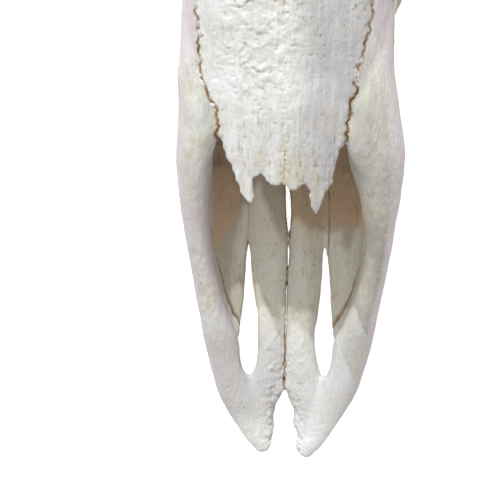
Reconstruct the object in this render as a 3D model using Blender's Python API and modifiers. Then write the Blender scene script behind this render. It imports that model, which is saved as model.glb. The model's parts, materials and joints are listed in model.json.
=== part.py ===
"""Giraffe skull without its lower jaw, life size, lying on its upper teeth.

Blender 4.5, metres, +Z up. The muzzle points along -Y. Run with
blender --background --python part.py, or from Blender's text editor.

Every size below is in millimetres in the skull's own measures: x is the distance
from the midline, s the distance back from the tips of the premaxillae, and z the
height above the chewing surfaces of the teeth. place() turns them into metres.
"""

import math

import bmesh
import bpy
import numpy as np
from mathutils import Matrix, Vector
from mathutils.bvhtree import BVHTree

MM = 0.001
SKULL_LENGTH = 660.0
MIDDLE_S = 327.6
SUTURE_GAP = 0.35
VOXEL = 2.0
WHOLE_TRIANGLES = 9200

BONE_COLOUR = (0.80, 0.76, 0.69)
BONE_ROUGHNESS = 0.62
HORN_COLOUR = (0.76, 0.71, 0.62)
HORN_ROUGHNESS = 0.70


def clear_scene():
    """Removes whatever the file holds."""
    for obj in list(bpy.data.objects):
        bpy.data.objects.remove(obj, do_unlink=True)


def collection(name):
    """A new collection in the scene."""
    made = bpy.data.collections.new(name)
    bpy.context.scene.collection.children.link(made)
    return made


def place(x, s, z):
    """A point of the skull's measures, in metres in the model's frame."""
    x, s, z = np.broadcast_arrays(x, s, z)
    return np.stack([x, s - MIDDLE_S, z], axis=-1).astype(float) * MM


def follow(at, stations, values):
    """A smooth curve through a few values that never swings past them."""
    stations = np.asarray(stations, float)
    values = np.asarray(values, float)
    steps = np.diff(stations)
    slopes = np.diff(values) / steps
    tangents = np.zeros_like(values)
    same_way = slopes[1:] * slopes[:-1] > 0
    mean = 2 * slopes[1:] * slopes[:-1] / np.where(same_way, slopes[1:] + slopes[:-1], 1)
    tangents[1:-1] = np.where(same_way, mean, 0)
    tangents[0], tangents[-1] = slopes[0], slopes[-1]
    at = np.clip(np.asarray(at, float), stations[0], stations[-1])
    i = np.clip(np.searchsorted(stations, at) - 1, 0, len(steps) - 1)
    t = (at - stations[i]) / steps[i]
    rise = values[i] * (1 + 2 * t) * (1 - t) ** 2 + values[i + 1] * t * t * (3 - 2 * t)
    lean = tangents[i] * t * (1 - t) ** 2 - tangents[i + 1] * t * t * (1 - t)
    return rise + lean * steps[i]


def link(mesh, name, into):
    obj = bpy.data.objects.new(name, mesh)
    into.objects.link(obj)
    return obj


def loft(name, grid, into):
    """A closed skin over rings of points, grid[ring, point, xyz], with both ends capped."""
    rings, around = grid.shape[:2]
    points = [tuple(p) for p in grid.reshape(-1, 3)]
    last = (rings - 1) * around
    faces = [tuple(range(around)), tuple(range(last, last + around))]
    for r in range(rings - 1):
        for a in range(around):
            b = (a + 1) % around
            faces.append((r * around + a, r * around + b, (r + 1) * around + b, (r + 1) * around + a))
    mesh = bpy.data.meshes.new(name)
    mesh.from_pydata(points, [], faces)
    shell = bmesh.new()
    shell.from_mesh(mesh)
    bmesh.ops.recalc_face_normals(shell, faces=shell.faces)
    shell.to_mesh(mesh)
    shell.free()
    return link(mesh, name, into)


def hull_loft(name, table, into, rings=40, around=40):
    """A bone body from its sections. Each row of the table is one section, given by the
    height of its top, then x and z of its shoulder, of its widest point and of its lower
    edge, then the height of its underside at the midline."""
    table = np.asarray(table, float)
    s = np.linspace(table[0, 0], table[-1, 0], rings)
    top, xs, zs, xw, zw, xl, zl, under = (follow(s, table[:, 0], table[:, k]) for k in range(1, 9))
    zero = np.zeros_like(s)
    knots_x = np.stack([zero, xs, xw, xl, zero, -xl, -xw, -xs], axis=1)
    knots_z = np.stack([top, zs, zw, zl, under, zl, zw, zs], axis=1)
    t = np.linspace(0, 8, around, endpoint=False)
    i = np.floor(t).astype(int)
    u = t - i
    weights = (
        -0.5 * u + u**2 - 0.5 * u**3,
        1 - 2.5 * u**2 + 1.5 * u**3,
        0.5 * u + 2 * u**2 - 1.5 * u**3,
        -0.5 * u**2 + 0.5 * u**3,
    )
    x = sum(w * knots_x[:, (i + k - 1) % 8] for k, w in enumerate(weights))
    z = sum(w * knots_z[:, (i + k - 1) % 8] for k, w in enumerate(weights))
    return loft(name, place(x, s[:, None], z), into)


def sweep(name, path, wide, high, into, up=(0, 0, 1), rings=28, around=16, square=2.0):
    """An oval bar carried along a path of (x, s, z) points. wide and high are half its
    size across and along up; square above 2 makes the oval boxier."""
    path = np.asarray(path, float)
    along = np.concatenate([[0], np.cumsum(np.linalg.norm(np.diff(path, axis=0), axis=1))])
    at = np.linspace(0, along[-1], rings)
    centre = np.stack([follow(at, along, path[:, k]) for k in range(3)], axis=1)
    tangent = np.gradient(centre, axis=0)
    tangent /= np.linalg.norm(tangent, axis=1, keepdims=True)
    side = np.cross(tangent, np.asarray(up, float))
    side /= np.linalg.norm(side, axis=1, keepdims=True)
    rise = np.cross(side, tangent)
    a = np.linspace(0, 2 * math.pi, around, endpoint=False)
    cos = np.sign(np.cos(a)) * np.abs(np.cos(a)) ** (2 / square)
    sin = np.sign(np.sin(a)) * np.abs(np.sin(a)) ** (2 / square)
    half_wide = follow(at, along, wide)[:, None, None]
    half_high = follow(at, along, high)[:, None, None]
    ring = centre[:, None] + side[:, None] * cos[:, None] * half_wide
    ring = ring + rise[:, None] * sin[:, None] * half_high
    return loft(name, place(ring[..., 0], ring[..., 1], ring[..., 2]), into)


def oval(name, centre, half, into, turn=(0, 0, 0), detail=3):
    """An ellipsoid, from its centre, its half sizes and its turn in degrees."""
    ball = bmesh.new()
    bmesh.ops.create_icosphere(ball, subdivisions=detail, radius=1.0)
    size = Matrix.Diagonal((*(Vector(half) * MM), 1.0))
    spin = Matrix.Identity(4)
    for angle, axis in zip(turn, "XYZ"):
        spin = Matrix.Rotation(math.radians(angle), 4, axis) @ spin
    shift = Matrix.Translation(place(*centre))
    bmesh.ops.transform(ball, matrix=shift @ spin @ size, verts=ball.verts)
    mesh = bpy.data.meshes.new(name)
    ball.to_mesh(mesh)
    ball.free()
    return link(mesh, name, into)


def both_sides(obj, into):
    """Adds the mirror image of a piece on the skull's other side."""
    mesh = obj.data.copy()
    mesh.transform(Matrix.Diagonal((-1, 1, 1, 1)))
    mesh.flip_normals()
    link(mesh, obj.name + "_other", into)


# The two sides of a real skull never match: how far each place leans sideways.
LEAN_AT = [0, 60, 125, 150, 176, 200, 225, 248, 266, 330]
LEAN_NEAR_MIDDLE = [-1.4, -1.6, -1.0, -1.8, -2.5, -2.5, -3, -3, -2, 0]
LEAN_AT_SIDES = [0, 0, 0, 0, 0, -1.5, -3, -3, -2, 0]
TIP_LONGER = 2.4


def lean(obj):
    """Gives a mesh the small unevenness of the skull in the photo."""
    flat = np.empty(len(obj.data.vertices) * 3)
    obj.data.vertices.foreach_get("co", flat)
    points = flat.reshape(-1, 3)
    s = points[:, 1] / MM + MIDDLE_S
    side = np.clip(np.abs(points[:, 0]) / MM / 45, 0, 1) ** 2
    near, far = follow(s, LEAN_AT, LEAN_NEAR_MIDDLE), follow(s, LEAN_AT, LEAN_AT_SIDES)
    longer = TIP_LONGER * np.clip(1 - s / 25, 0, 1) * (points[:, 0] > 0)
    points[:, 0] += (near * (1 - side) + far * side) * MM
    points[:, 1] -= longer * MM
    obj.data.vertices.foreach_set("co", points.ravel())
    obj.data.update()


def settle(obj):
    """Turns an object with modifiers into the plain mesh that they make."""
    graph = bpy.context.evaluated_depsgraph_get()
    mesh = bpy.data.meshes.new_from_object(obj.evaluated_get(graph))
    obj.modifiers.clear()
    obj.data = mesh
    return obj


def combine(obj, others, operation, solver="EXACT"):
    """Joins a collection's solids to obj, or cuts them from it, and removes them."""
    modifier = obj.modifiers.new(operation.lower(), "BOOLEAN")
    modifier.operation = operation
    modifier.operand_type = "COLLECTION"
    modifier.collection = others
    modifier.solver = solver
    settle(obj)
    for other in list(others.objects):
        bpy.data.objects.remove(other, do_unlink=True)
    bpy.data.collections.remove(others)
    return obj


# The face: two walls, floor and roof round the nasal cavity.
FACE_SECTIONS = [
    # s, top z, shoulder x z, widest x z, lower edge x z, under z
    (64, 36, 22, 35, 40, 32, 36, 27, 26),
    (84, 47, 26, 45, 46, 39, 41, 23, 22),
    (100, 58, 30, 56, 50, 46, 44, 21, 20),
    (140, 90, 32, 84, 56, 64, 47, 20, 24),
    (180, 117, 35, 108, 60.5, 82, 49, 20, 27),
    (215, 125, 44, 114, 59, 88, 50, 20, 30),
    (250, 134, 47, 123, 58.5, 84, 53, 20, 31),
    (300, 147, 46, 139, 63, 94, 62, 21, 31),
    (340, 160, 48, 151, 73, 104, 70, 24, 33),
    (372, 171, 58, 160, 87, 110, 75, 34, 36),
    (392, 176, 70, 164, 98, 118, 72, 50, 44),
    (404, 178, 76, 164, 101, 120, 66, 62, 56),
]
CAVITY_SECTIONS = [
    (170, 110, 30, 104, 52, 78, 42, 34, 33),
    (215, 119, 40, 107, 52, 86, 45, 37, 38),
    (250, 128, 43, 113, 51, 84, 42, 42, 40),
    (300, 140, 42, 130, 50, 90, 38, 44, 42),
    (340, 150, 42, 141, 50, 95, 34, 48, 45),
    (376, 152, 38, 142, 46, 98, 28, 52, 48),
]
TROUGH_SECTIONS = [
    (40, 130, 34, 60, 34, 44, 30, 28, 24),
    (70, 150, 35, 80, 35, 45, 30, 29, 24),
    (100, 170, 41, 100, 41, 54, 33, 31, 26),
    (140, 190, 44, 130, 44.5, 70, 38, 35, 31),
    (174, 200, 40, 150, 44, 84, 40, 36, 33),
    (192, 200, 36, 150, 38, 122, 32, 106, 105),
]


def face(into):
    body = hull_loft("face", FACE_SECTIONS, into)
    cuts = collection("face cuts")
    hull_loft("cavity", CAVITY_SECTIONS, cuts)
    hull_loft("trough", TROUGH_SECTIONS, cuts)
    # The gap in the palate's front, between the two maxillae.
    s = np.array([44.0, 56, 69, 84, 98, 111, 119, 160, 200])
    half = np.array([23.0, 25.6, 26.5, 25.6, 25, 23.8, 21, 17, 3])
    corners_x = np.stack([-half, half, half, -half], axis=1)
    corners_z = np.array([[0.0, 0, 60, 60]]) * np.ones((len(s), 1))
    loft("palate gap", place(corners_x, s[:, None], corners_z), cuts)
    combine(body, cuts, "DIFFERENCE")
    return body


# Premaxilla: a flat body in front, an arm up the side and a bar back along the floor.
ARM_PATH = [
    (11.2, -1.5, 16), (12.2, 1, 16.3), (13, 4, 16.7), (16.4, 10.5, 17.6), (19.7, 19, 19.6), (25.2, 29.5, 22.6),
    (31, 40, 26.4), (35, 52, 31), (38.5, 66, 37), (44, 85, 46), (49.5, 112, 60), (51.7, 130, 70), (53, 150, 80),
    (51.9, 175, 91), (50, 200, 96), (50.5, 225, 100), (51.5, 250, 104),
]
ARM_WIDE = [3, 5.4, 6.7, 8.3, 10.5, 11.5, 11.2, 10.5, 10.3, 8, 7, 7.3, 8.5, 10.6, 10, 7.5, 5.5]
ARM_HIGH = [2, 3.4, 4.2, 5.5, 6.5, 7, 7.5, 8, 8.5, 9, 9.5, 10, 12, 14, 15, 13, 8]
# The right arm spreads further inwards beside the nasals.
ARM_INWARDS_AT = [120, 135, 148, 159, 178, 200, 230, 250]
ARM_INWARDS = [0, 2.5, 4.5, 7.5, 8.8, 8.4, 3, 0]
BAR_PATH = [
    (14.8, 5, 17), (14.5, 12, 18.2), (14, 20, 19.8), (13.2, 28, 21.6), (12.2, 35, 23.6), (11.3, 41, 25.3),
    (10.3, 48, 27), (9.4, 55, 28.4), (8.8, 69, 29.5), (9.8, 84, 30), (10.8, 98, 30.5), (11.3, 112, 31),
    (11.5, 130, 31), (11.5, 160, 31), (9, 196, 31),
]
BAR_WIDE = [6.5, 8, 8, 8.3, 10.2, 10.9, 10.2, 9.1, 8.4, 9.4, 10.5, 11, 11.2, 11, 9]
BAR_HIGH = [3.4, 4.6, 5.4, 5.6, 5.5, 5.4, 5.4, 5.4, 5.4, 5.6, 5.8, 5.8, 5.8, 5.6, 5]


LEDGE_LEFT = [(-52, 158, 93), (-49, 172, 99), (-47, 184, 103.5), (-48.5, 198, 106), (-52, 215, 105), (-52, 236, 104)]
LEDGE_RIGHT = [(46, 158, 94), (41, 172, 100), (39, 184, 105), (40.5, 198, 108), (43.5, 215, 109), (45, 236, 108)]
LEDGE_WIDE = [4, 7.5, 9, 9, 7, 3]
LEDGE_HIGH = [3, 5.5, 6, 6, 5, 3]
CREASE_AT = [60, 84, 104, 128, 160, 196]
CREASE_X = [12, 14.5, 12.8, 10.2, 9.0, 9.0]
CREASE_SLOPE = 0.62
RIGHT_BAR_NARROWER = [[84, 105, 120, 150], [0, 1.2, 1.3, 0]]


# The narrow slots between the bars and the palate, in x and s.
SLOT_LEFT = [
    (-24.2, 123), (-25.2, 110), (-26.1, 100.6), (-26.7, 89.5), (-27.2, 82), (-28.3, 72), (-28.3, 63.4),
    (-27.8, 54), (-26.6, 49), (-24.8, 46.2), (-23.2, 45.2), (-21.4, 45.8), (-19.8, 48.2), (-18.4, 52.5),
    (-17.7, 60), (-17.8, 68), (-18.1, 82.3), (-19.6, 89.7), (-22, 100.7), (-23.2, 110),
]
SLOT_RIGHT = [
    (20.3, 121), (22.1, 111), (23.4, 101.7), (24, 90.7), (24.6, 83.3), (25.2, 74), (26.4, 68), (26.4, 62),
    (25.9, 55), (24.9, 49.6), (23.6, 46), (22, 44.8), (20.4, 46), (19.2, 48.6), (17.8, 53.5), (16.8, 60),
    (16.7, 68), (17.5, 83.2), (19, 92.4), (19.8, 105.4),
]


def cut_slots(obj):
    """Cuts the two slots: each is its outline carried straight up."""
    slots = collection("slots")
    for outline in (SLOT_LEFT, SLOT_RIGHT):
        x, s = np.array(outline, float).T
        loft("slot", np.stack([place(x, s, z) for z in (0.0, 70.0)]), slots)
    combine(obj, slots, "DIFFERENCE", "MANIFOLD")


def facet(obj):
    """Slants the right bar's outer side: past the crease its height above z 25 shrinks."""
    for vertex in obj.data.vertices:
        x, s, z = vertex.co.x / MM, vertex.co.y / MM + MIDDLE_S, vertex.co.z / MM
        past = min(max(x - float(follow(s, CREASE_AT, CREASE_X)), 0), 20)
        sink = CREASE_SLOPE * past / 11.6 * min(max((s - 62) / 12, 0), 1)
        vertex.co.z = (25 + (z - 25) * (1 - min(sink, 0.7))) * MM


def premaxillae(into):
    """On each side the arm, the bar and the ledge on which the nasal's edge lies."""
    for side in (-1, 1):
        path, wide = np.array(ARM_PATH, float), np.array(ARM_WIDE, float)
        if side == 1:
            inwards = follow(path[:, 1], ARM_INWARDS_AT, ARM_INWARDS)
            path[:, 0] -= inwards / 2
            wide += inwards / 2
        path[:, 0] *= side
        sweep("arm", path, wide, ARM_HIGH, into, rings=64)
        path, wide = np.array(BAR_PATH, float), np.array(BAR_WIDE, float)
        if side == 1:
            wide -= follow(path[:, 1], *RIGHT_BAR_NARROWER)
        path[:, 0] *= side
        bar = sweep("bar", path, wide, BAR_HIGH, into, rings=52, square=2.2)
        if side == 1:
            facet(bar)
    sweep("ledge left", LEDGE_LEFT, LEDGE_WIDE, LEDGE_HIGH, into, rings=20)
    sweep("ledge right", LEDGE_RIGHT, LEDGE_WIDE, LEDGE_HIGH, into, rings=20)


# Nasals: the free front of the roof, ending in two long outer prongs.
NASAL_FRONT = [
    (-42, 200), (-40.4, 190), (-40.1, 185.7), (-36.7, 178.7), (-33.8, 168.5), (-28.7, 159.8),
    (-25.6, 150.1), (-22, 145.7), (-19.5, 144.4), (-19, 150), (-18.7, 158.2), (-15.2, 162.6),
    (-12.1, 156.7), (-9.3, 154.9), (-4.4, 154.7), (-3.7, 158), (-3, 155.5), (0, 152), (3.2, 152.6),
    (9.7, 156.3), (12.4, 143.1), (14.7, 139.4), (18.6, 149.8), (22.8, 155.8), (25.2, 168.3),
    (26.4, 174), (30.4, 178.3), (30.6, 188), (32, 200),
]
NASAL_THICK = 5.0


def nasal_front(into):
    """An arched plate, cut to the ragged outline of the nasals' front."""
    s = np.linspace(128, 205, 24)
    top = follow(s, [128, 152, 180, 205], [101.5, 108.5, 117, 122.5])
    across = np.linspace(-45, 45, 25)
    drop = 0.0062 * across**2
    x = np.concatenate([across, across[::-1]])
    z = np.concatenate([-drop, -drop[::-1] - NASAL_THICK])
    plate = loft("nasal plate", place(x, s[:, None], top[:, None] + z), into)
    outline = bpy.data.curves.new("nasal outline", "CURVE")
    outline.dimensions = "2D"
    outline.fill_mode = "BOTH"
    outline.extrude = 40 * MM
    line = outline.splines.new("POLY")
    line.points.add(len(NASAL_FRONT) - 1)
    for point, (px, ps) in zip(line.points, NASAL_FRONT):
        point.co = (*place(px, ps, 0)[:2], 0, 1)
    line.use_cyclic_u = True
    guide = link(outline, "nasal outline", into)
    guide.location.z = 110 * MM
    bpy.context.view_layer.update()
    graph = bpy.context.evaluated_depsgraph_get()
    mesh = bpy.data.meshes.new_from_object(guide.evaluated_get(graph))
    mesh.transform(guide.matrix_world)
    bpy.data.objects.remove(guide, do_unlink=True)
    edge = bmesh.new()
    edge.from_mesh(mesh)
    bmesh.ops.remove_doubles(edge, verts=edge.verts, dist=1e-6)
    bmesh.ops.recalc_face_normals(edge, faces=edge.faces)
    edge.to_mesh(mesh)
    edge.free()
    cutter = collection("nasal cutter")
    link(mesh, "nasal edge", cutter)
    combine(plate, cutter, "INTERSECT")
    return plate


# Braincase, from behind the face to the back of the head.
BRAINCASE_SECTIONS = [
    (376, 150, 34, 140, 46, 108, 30, 66, 54),
    (420, 176, 44, 158, 48, 115, 28, 66, 56),
    (460, 186, 60, 170, 54, 118, 30, 64, 52),
    (500, 186, 66, 168, 56, 120, 34, 60, 49),
    (530, 178, 64, 160, 58, 116, 36, 56, 47),
    (560, 168, 60, 152, 63, 108, 37, 54, 45),
    (590, 161, 62, 147, 74, 100, 41, 54, 45),
    (610, 158, 66, 143, 83, 99, 42, 58, 47),
    (624, 153, 64, 138, 82, 98, 40, 61, 50),
    (633, 141, 54, 126, 68, 96, 34, 66, 54),
    (642, 124, 34, 112, 42, 92, 24, 72, 60),
]
BROW_SECTIONS = [
    (366, 166, 40, 160, 58, 150, 44, 120, 120),
    (388, 175, 62, 168, 92, 146, 70, 122, 120),
    (404, 180, 72, 172, 105, 146, 84, 126, 130),
    (424, 184, 78, 175, 112, 148, 90, 132, 134),
    (444, 186, 80, 176, 116, 150, 92, 134, 134),
    (462, 185, 78, 174, 117, 150, 88, 134, 132),
    (480, 182, 70, 170, 96, 152, 64, 132, 130),
    (500, 180, 52, 166, 62, 150, 44, 130, 130),
]
ORBIT = (106.0, 432.0, 122.0)
ORBIT_RADIUS = 34.0
ORBIT_RIM = 6.0
ORBIT_FACES_FORWARD = 12.0
ARCH_PATH = [
    (62, 330, 74), (80, 360, 79), (92, 383, 80), (102, 408, 79), (107, 436, 80), (108, 462, 87),
    (102, 490, 93), (95, 518, 97), (84, 546, 98), (70, 568, 96),
]
ARCH_WIDE = [4, 8, 9, 9, 7.5, 7, 6, 6.5, 9, 11]
ARCH_HIGH = [5, 13, 17, 17, 14, 12, 11, 10.5, 11, 12]
BAR_BEHIND_ORBIT = [(111, 460, 160), (112, 469, 140), (110, 472, 116), (106, 468, 92)]
CREST_PATH = [(74, 606, 68), (79, 613, 96), (71, 621, 124), (43, 628, 142), (0, 630, 148)]
TEMPORAL_LINE = [(86, 474, 166), (70, 496, 168), (60, 525, 163), (58, 565, 151), (64, 606, 142)]
PAROCCIPITAL_PATH = [(58, 606, 92), (58, 606, 56), (55, 603, 24), (52, 600, -4)]


def rim(into):
    """The raised ring of bone round the eye socket."""
    turns = 40
    a = np.linspace(0, 2 * math.pi, turns + 1)
    turn = math.radians(ORBIT_FACES_FORWARD)
    along = ORBIT_RADIUS * np.cos(a)
    x = ORBIT[0] + along * math.sin(turn) + 5 * np.sin(a)
    s = ORBIT[1] + along * math.cos(turn)
    z = ORBIT[2] + ORBIT_RADIUS * 0.97 * np.sin(a)
    halves = [slice(0, 24), slice(20, 41)]
    for number, part in enumerate(halves):
        path = np.stack([x[part], s[part], z[part]], axis=1)
        size = [ORBIT_RIM] * len(path)
        both_sides(sweep(f"rim {number}", path, size, size, into, up=(1, 0, 0), around=12), into)


def cranium(into):
    hull_loft("brow", BROW_SECTIONS, into, around=48)
    body = hull_loft("braincase", BRAINCASE_SECTIONS, into)
    rim(into)
    both = [
        sweep("arch", ARCH_PATH, ARCH_WIDE, ARCH_HIGH, into, rings=44),
        sweep("bar behind orbit", BAR_BEHIND_ORBIT, [6, 5, 5, 6], [9, 8, 8, 9], into, up=(0, 1, 0)),
        sweep("crest", CREST_PATH, [8, 8, 8, 8, 8], [11, 12, 12, 12, 12], into, up=(0, 1, 0)),
        sweep("temporal line", TEMPORAL_LINE, [8, 6, 6, 6, 6], [6, 6, 6, 6, 6], into),
        sweep("paroccipital", PAROCCIPITAL_PATH, [13, 10, 7, 5], [17, 12, 9, 6], into, up=(0, 1, 0)),
        oval("condyle", (27, 641, 66), (17, 19, 23), into, turn=(-20, 0, 0)),
        oval("bulla", (38, 566, 54), (10, 19, 18), into),
        oval("jaw socket", (66, 548, 88), (26, 18, 9), into),
        oval("mastoid", (66, 596, 84), (14, 18, 24), into),
        sweep("ear tube", [(58, 574, 80), (82, 580, 86)], [8, 7], [9, 8], into, rings=6),
        sweep("pterygoid", [(24, 392, 62), (23, 410, 50), (22, 432, 44), (22, 456, 54)],
              [3, 3, 3, 4], [14, 16, 13, 8], into),
    ]
    for piece in both:
        both_sides(piece, into)
    return body


OSSICONE_BASE = np.array([50.0, 494.0, 176.0])
OSSICONE_LENGTH = 158.0
OSSICONE_BACK = 40.0
OSSICONE_OUT = 8.0
OSSICONE_ALONG = [-0.12, 0.0, 0.1, 0.25, 0.5, 0.72, 0.86, 0.95, 1.0, 1.02]
OSSICONE_RADIUS = [38, 36, 31, 25.5, 22, 21.5, 24.5, 24, 15, 4]


def ossicone_axis():
    back, out = math.radians(OSSICONE_BACK), math.radians(OSSICONE_OUT)
    return np.array([math.sin(out), math.sin(back), math.cos(back) * math.cos(out)])


def ossicones(into):
    along = np.array(OSSICONE_ALONG)[:, None]
    path = OSSICONE_BASE + ossicone_axis() * OSSICONE_LENGTH * along
    path[:, 1] -= 16 * (along[:, 0] ** 2)
    path[:, 2] += 6 * (along[:, 0] ** 2)
    radius = np.array(OSSICONE_RADIUS, float)
    horn = sweep("ossicone", path, radius, radius * 1.06, into, up=(0, 1, 0), rings=48, around=24)
    both_sides(horn, into)
    oval("median boss", (0, 386, 160), (36, 58, 37), into, turn=(15, 0, 0))
    oval("boss foot", (0, 372, 150), (42, 88, 32), into, turn=(16, 0, 0))


TEETH = [
    # name, middle s, x, half length, half width, biting surface z, lobes
    ("P2", 229, 44.5, 10, 9.5, 5, 1),
    ("P3", 249.6, 48, 10.5, 11, 3, 1),
    ("P4", 271, 51.5, 10, 12, 1.5, 1),
    ("M1", 295, 55, 13.5, 13.5, -2, 2),
    ("M2", 324, 58.5, 15, 14.5, -2, 2),
    ("M3", 354, 60.5, 14.5, 14, -2, 2),
]


def cheek_teeth(into, side):
    """Six upper cheek teeth of one side: three premolars of one lobe, three molars of two."""
    for name, s, x, half_long, half_wide, bite, lobes in TEETH:
        long = half_long / lobes
        for lobe in range(lobes):
            middle = s + (2 * lobe - lobes + 1) * long
            path = [(x - 1, middle, 34), (x, middle, 20), (x - 0.5, middle, 9), (x - 1, middle, bite)]
            path = [(side * px, ps, pz) for px, ps, pz in path]
            wide = [half_wide - 3, half_wide, half_wide, half_wide - 2]
            high = [long, long + 0.8, long + 1.2, long + 0.3]
            sweep(f"{name} {lobe}", path, wide, high, into, up=(0, 1, 0), rings=4, around=12, square=3.2)


def remesh(obj, voxel, rounds):
    """Fuses what an object holds into one skin and softens it."""
    skin = obj.modifiers.new("skin", "REMESH")
    skin.mode = "VOXEL"
    skin.voxel_size = voxel * MM
    soften = obj.modifiers.new("soften", "SMOOTH")
    soften.factor = 0.5
    soften.iterations = rounds
    return settle(obj)


def whole_skull():
    forms = collection("forms")
    cranium(forms)
    ossicones(forms)
    skull = face(bpy.context.scene.collection)
    skull.name = "skull"
    combine(skull, forms, "UNION", "MANIFOLD")
    cuts = collection("skull cuts")
    x, s, z = ORBIT
    socket = [
        oval("socket", (x + 4, s - 1, z), (50, ORBIT_RADIUS - 3, ORBIT_RADIUS - 4), cuts),
        oval("vacuity", (58, 354, 150), (20, 24, 7), cuts, turn=(16, 35, 8)),
        oval("infraorbital", (58, 226, 56), (12, 8, 5), cuts),
        sweep("ear hole", [(66, 577, 83), (92, 582, 88)], [4.5, 4.5], [5, 5], cuts, rings=4),
    ]
    for piece in socket:
        both_sides(piece, cuts)
    sweep("foramen magnum", [(0, 606, 86), (0, 670, 82)], [17, 19], [16, 18], cuts, rings=6)
    sweep("choana", [(0, 372, 72), (0, 400, 64), (0, 432, 58), (0, 462, 40)],
          [19, 19, 18, 16], [20, 17, 15, 13], cuts)
    combine(skull, cuts, "DIFFERENCE", "MANIFOLD")
    remesh(skull, VOXEL, 12)
    lean(skull)
    fine = collection("fine forms")
    premaxillae(fine)
    for piece in fine.objects:
        lean(piece)
    nasal_front(fine)
    combine(skull, fine, "UNION", "MANIFOLD")
    cut_slots(skull)
    remesh(skull, VOXEL * 0.8, 4)
    return skull


def sheet(name, line, reach, plane, into, gap=SUTURE_GAP, step=30.0):
    """A thin wall that parts the bones along a suture. The line lies in the plane named
    (plan: x and s, side: s and z, front: x and z) and reaches between two values of the
    measure that is left."""
    corners = np.asarray(line, float)
    line = [corners[0]]
    for start, end in zip(corners[:-1], corners[1:]):
        pieces = max(1, round(np.linalg.norm(end - start) / step))
        line += [start + (end - start) * k / pieces for k in range(1, pieces + 1)]
    line = np.array(line)
    ahead = np.gradient(line, axis=0)
    normal = np.stack([-ahead[:, 1], ahead[:, 0]], axis=1)
    normal *= gap / 2 / np.linalg.norm(normal, axis=1, keepdims=True)
    a = np.stack([line + normal, line - normal, line - normal, line + normal], axis=1)
    c = np.broadcast_to([reach[0], reach[0], reach[1], reach[1]], a.shape[:2])
    x, s, z = {
        "plan": (a[..., 0], a[..., 1], c),
        "side": (c, a[..., 0], a[..., 1]),
        "front": (a[..., 0], c, a[..., 1]),
    }[plane]
    return loft(name, place(x, s, z), into)


# The sutures. Those with x in them are for the skull's right side of the page (x above 0).
FACE_TO_BRAINCASE = [(-2, 338), (0, 338), (30, 342), (42, 360), (47, 379), (70, 384), (130, 400)]
NASAL_LEFT_SIDE = [
    (-40.6, 110), (-40.6, 190), (-42, 198), (-45.4, 206), (-49, 218), (-51, 230), (-52, 245),
    (-51, 262), (-46, 290), (-38, 320), (-32.5, 348.5),
]
NASAL_RIGHT_SIDE = [
    (31.2, 110), (31.2, 190), (33.5, 199), (35.5, 209), (37.5, 218), (39, 230), (42.5, 245),
    (43.5, 262), (41, 290), (36, 320), (32.5, 348.5),
]
NASAL_SLANT = 0.4
NASAL_ROOF_AT = [110, 180, 250, 340]
NASAL_ROOF = [96, 110, 124, 148]
PREMAXILLA_TO_MAXILLA = [
    (58, -6), (58, 12), (70, 25), (82, 30.5), (91, 34), (100, 37.5), (107, 41), (113, 47), (121, 56), (140, 67),
    (165, 79), (200, 86),
    (236, 92),
]
PREMAXILLA_REAR = [(225, 89.5), (236, 92), (252, 100), (261, 116), (263, 150)]
BAR_TO_MAXILLA = [(24.5, 94), (23.5, 120), (24, 150), (21, 185), (11, 196), (-1, 198)]
MIDLINE = [(0, -12), (0, 342)]
MIDLINE_SLIT = [(0, 127), (0, 160)]
JUGAL_INSIDE = [(128, 112), (64, 112), (60, 108), (60, 20)]
PALATE_ROOF = [(-64, 102), (64, 102)]
TEMPORAL_EDGE = [(108, 128), (60, 126), (34, 112), (26, 90), (26, 30)]
OCCIPITAL_EDGE = [(-110, 600), (-40, 592), (40, 592), (110, 600)]
OSSICONE_SEAM = [(447, 194), (550, 183)]
BOSS_SEAM = [(300, 157.6), (345, 165.6), (372, 175.3), (404, 184), (424, 188), (446, 192)]


def beside_nasal(line, side, into):
    """The wall beside a nasal, which leans inwards below the roof so that it ends in the
    nose, and the wall behind the premaxilla, which ends on it."""
    x, s = np.transpose(np.asarray(line, float))

    def inwards(s, z):
        return side * NASAL_SLANT * np.maximum(follow(s, NASAL_ROOF_AT, NASAL_ROOF) - z, 0)

    roof = follow(s, NASAL_ROOF_AT, NASAL_ROOF)
    floor, sky = np.full_like(s, 84), np.full_like(s, 230)
    z = np.stack([floor, roof, sky, sky, roof, floor], axis=1)
    half_gap = np.array([1, 1, 1, -1, -1, -1]) * SUTURE_GAP / 2
    wall_x = x[:, None] - inwards(s[:, None], z) + half_gap
    loft("nasal side", place(wall_x, s[:, None], z), into)
    rear = sheet("nasal side rear", PREMAXILLA_REAR, (side * 50, side * 90), "side", into, step=8)
    for vertex in rear.data.vertices:
        if abs(vertex.co.x) < 60 * MM:
            at, z = vertex.co.y / MM + MIDDLE_S, vertex.co.z / MM
            vertex.co.x = (follow(at, s, x) - side * 0.3 - inwards(at, z)) * MM


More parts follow.
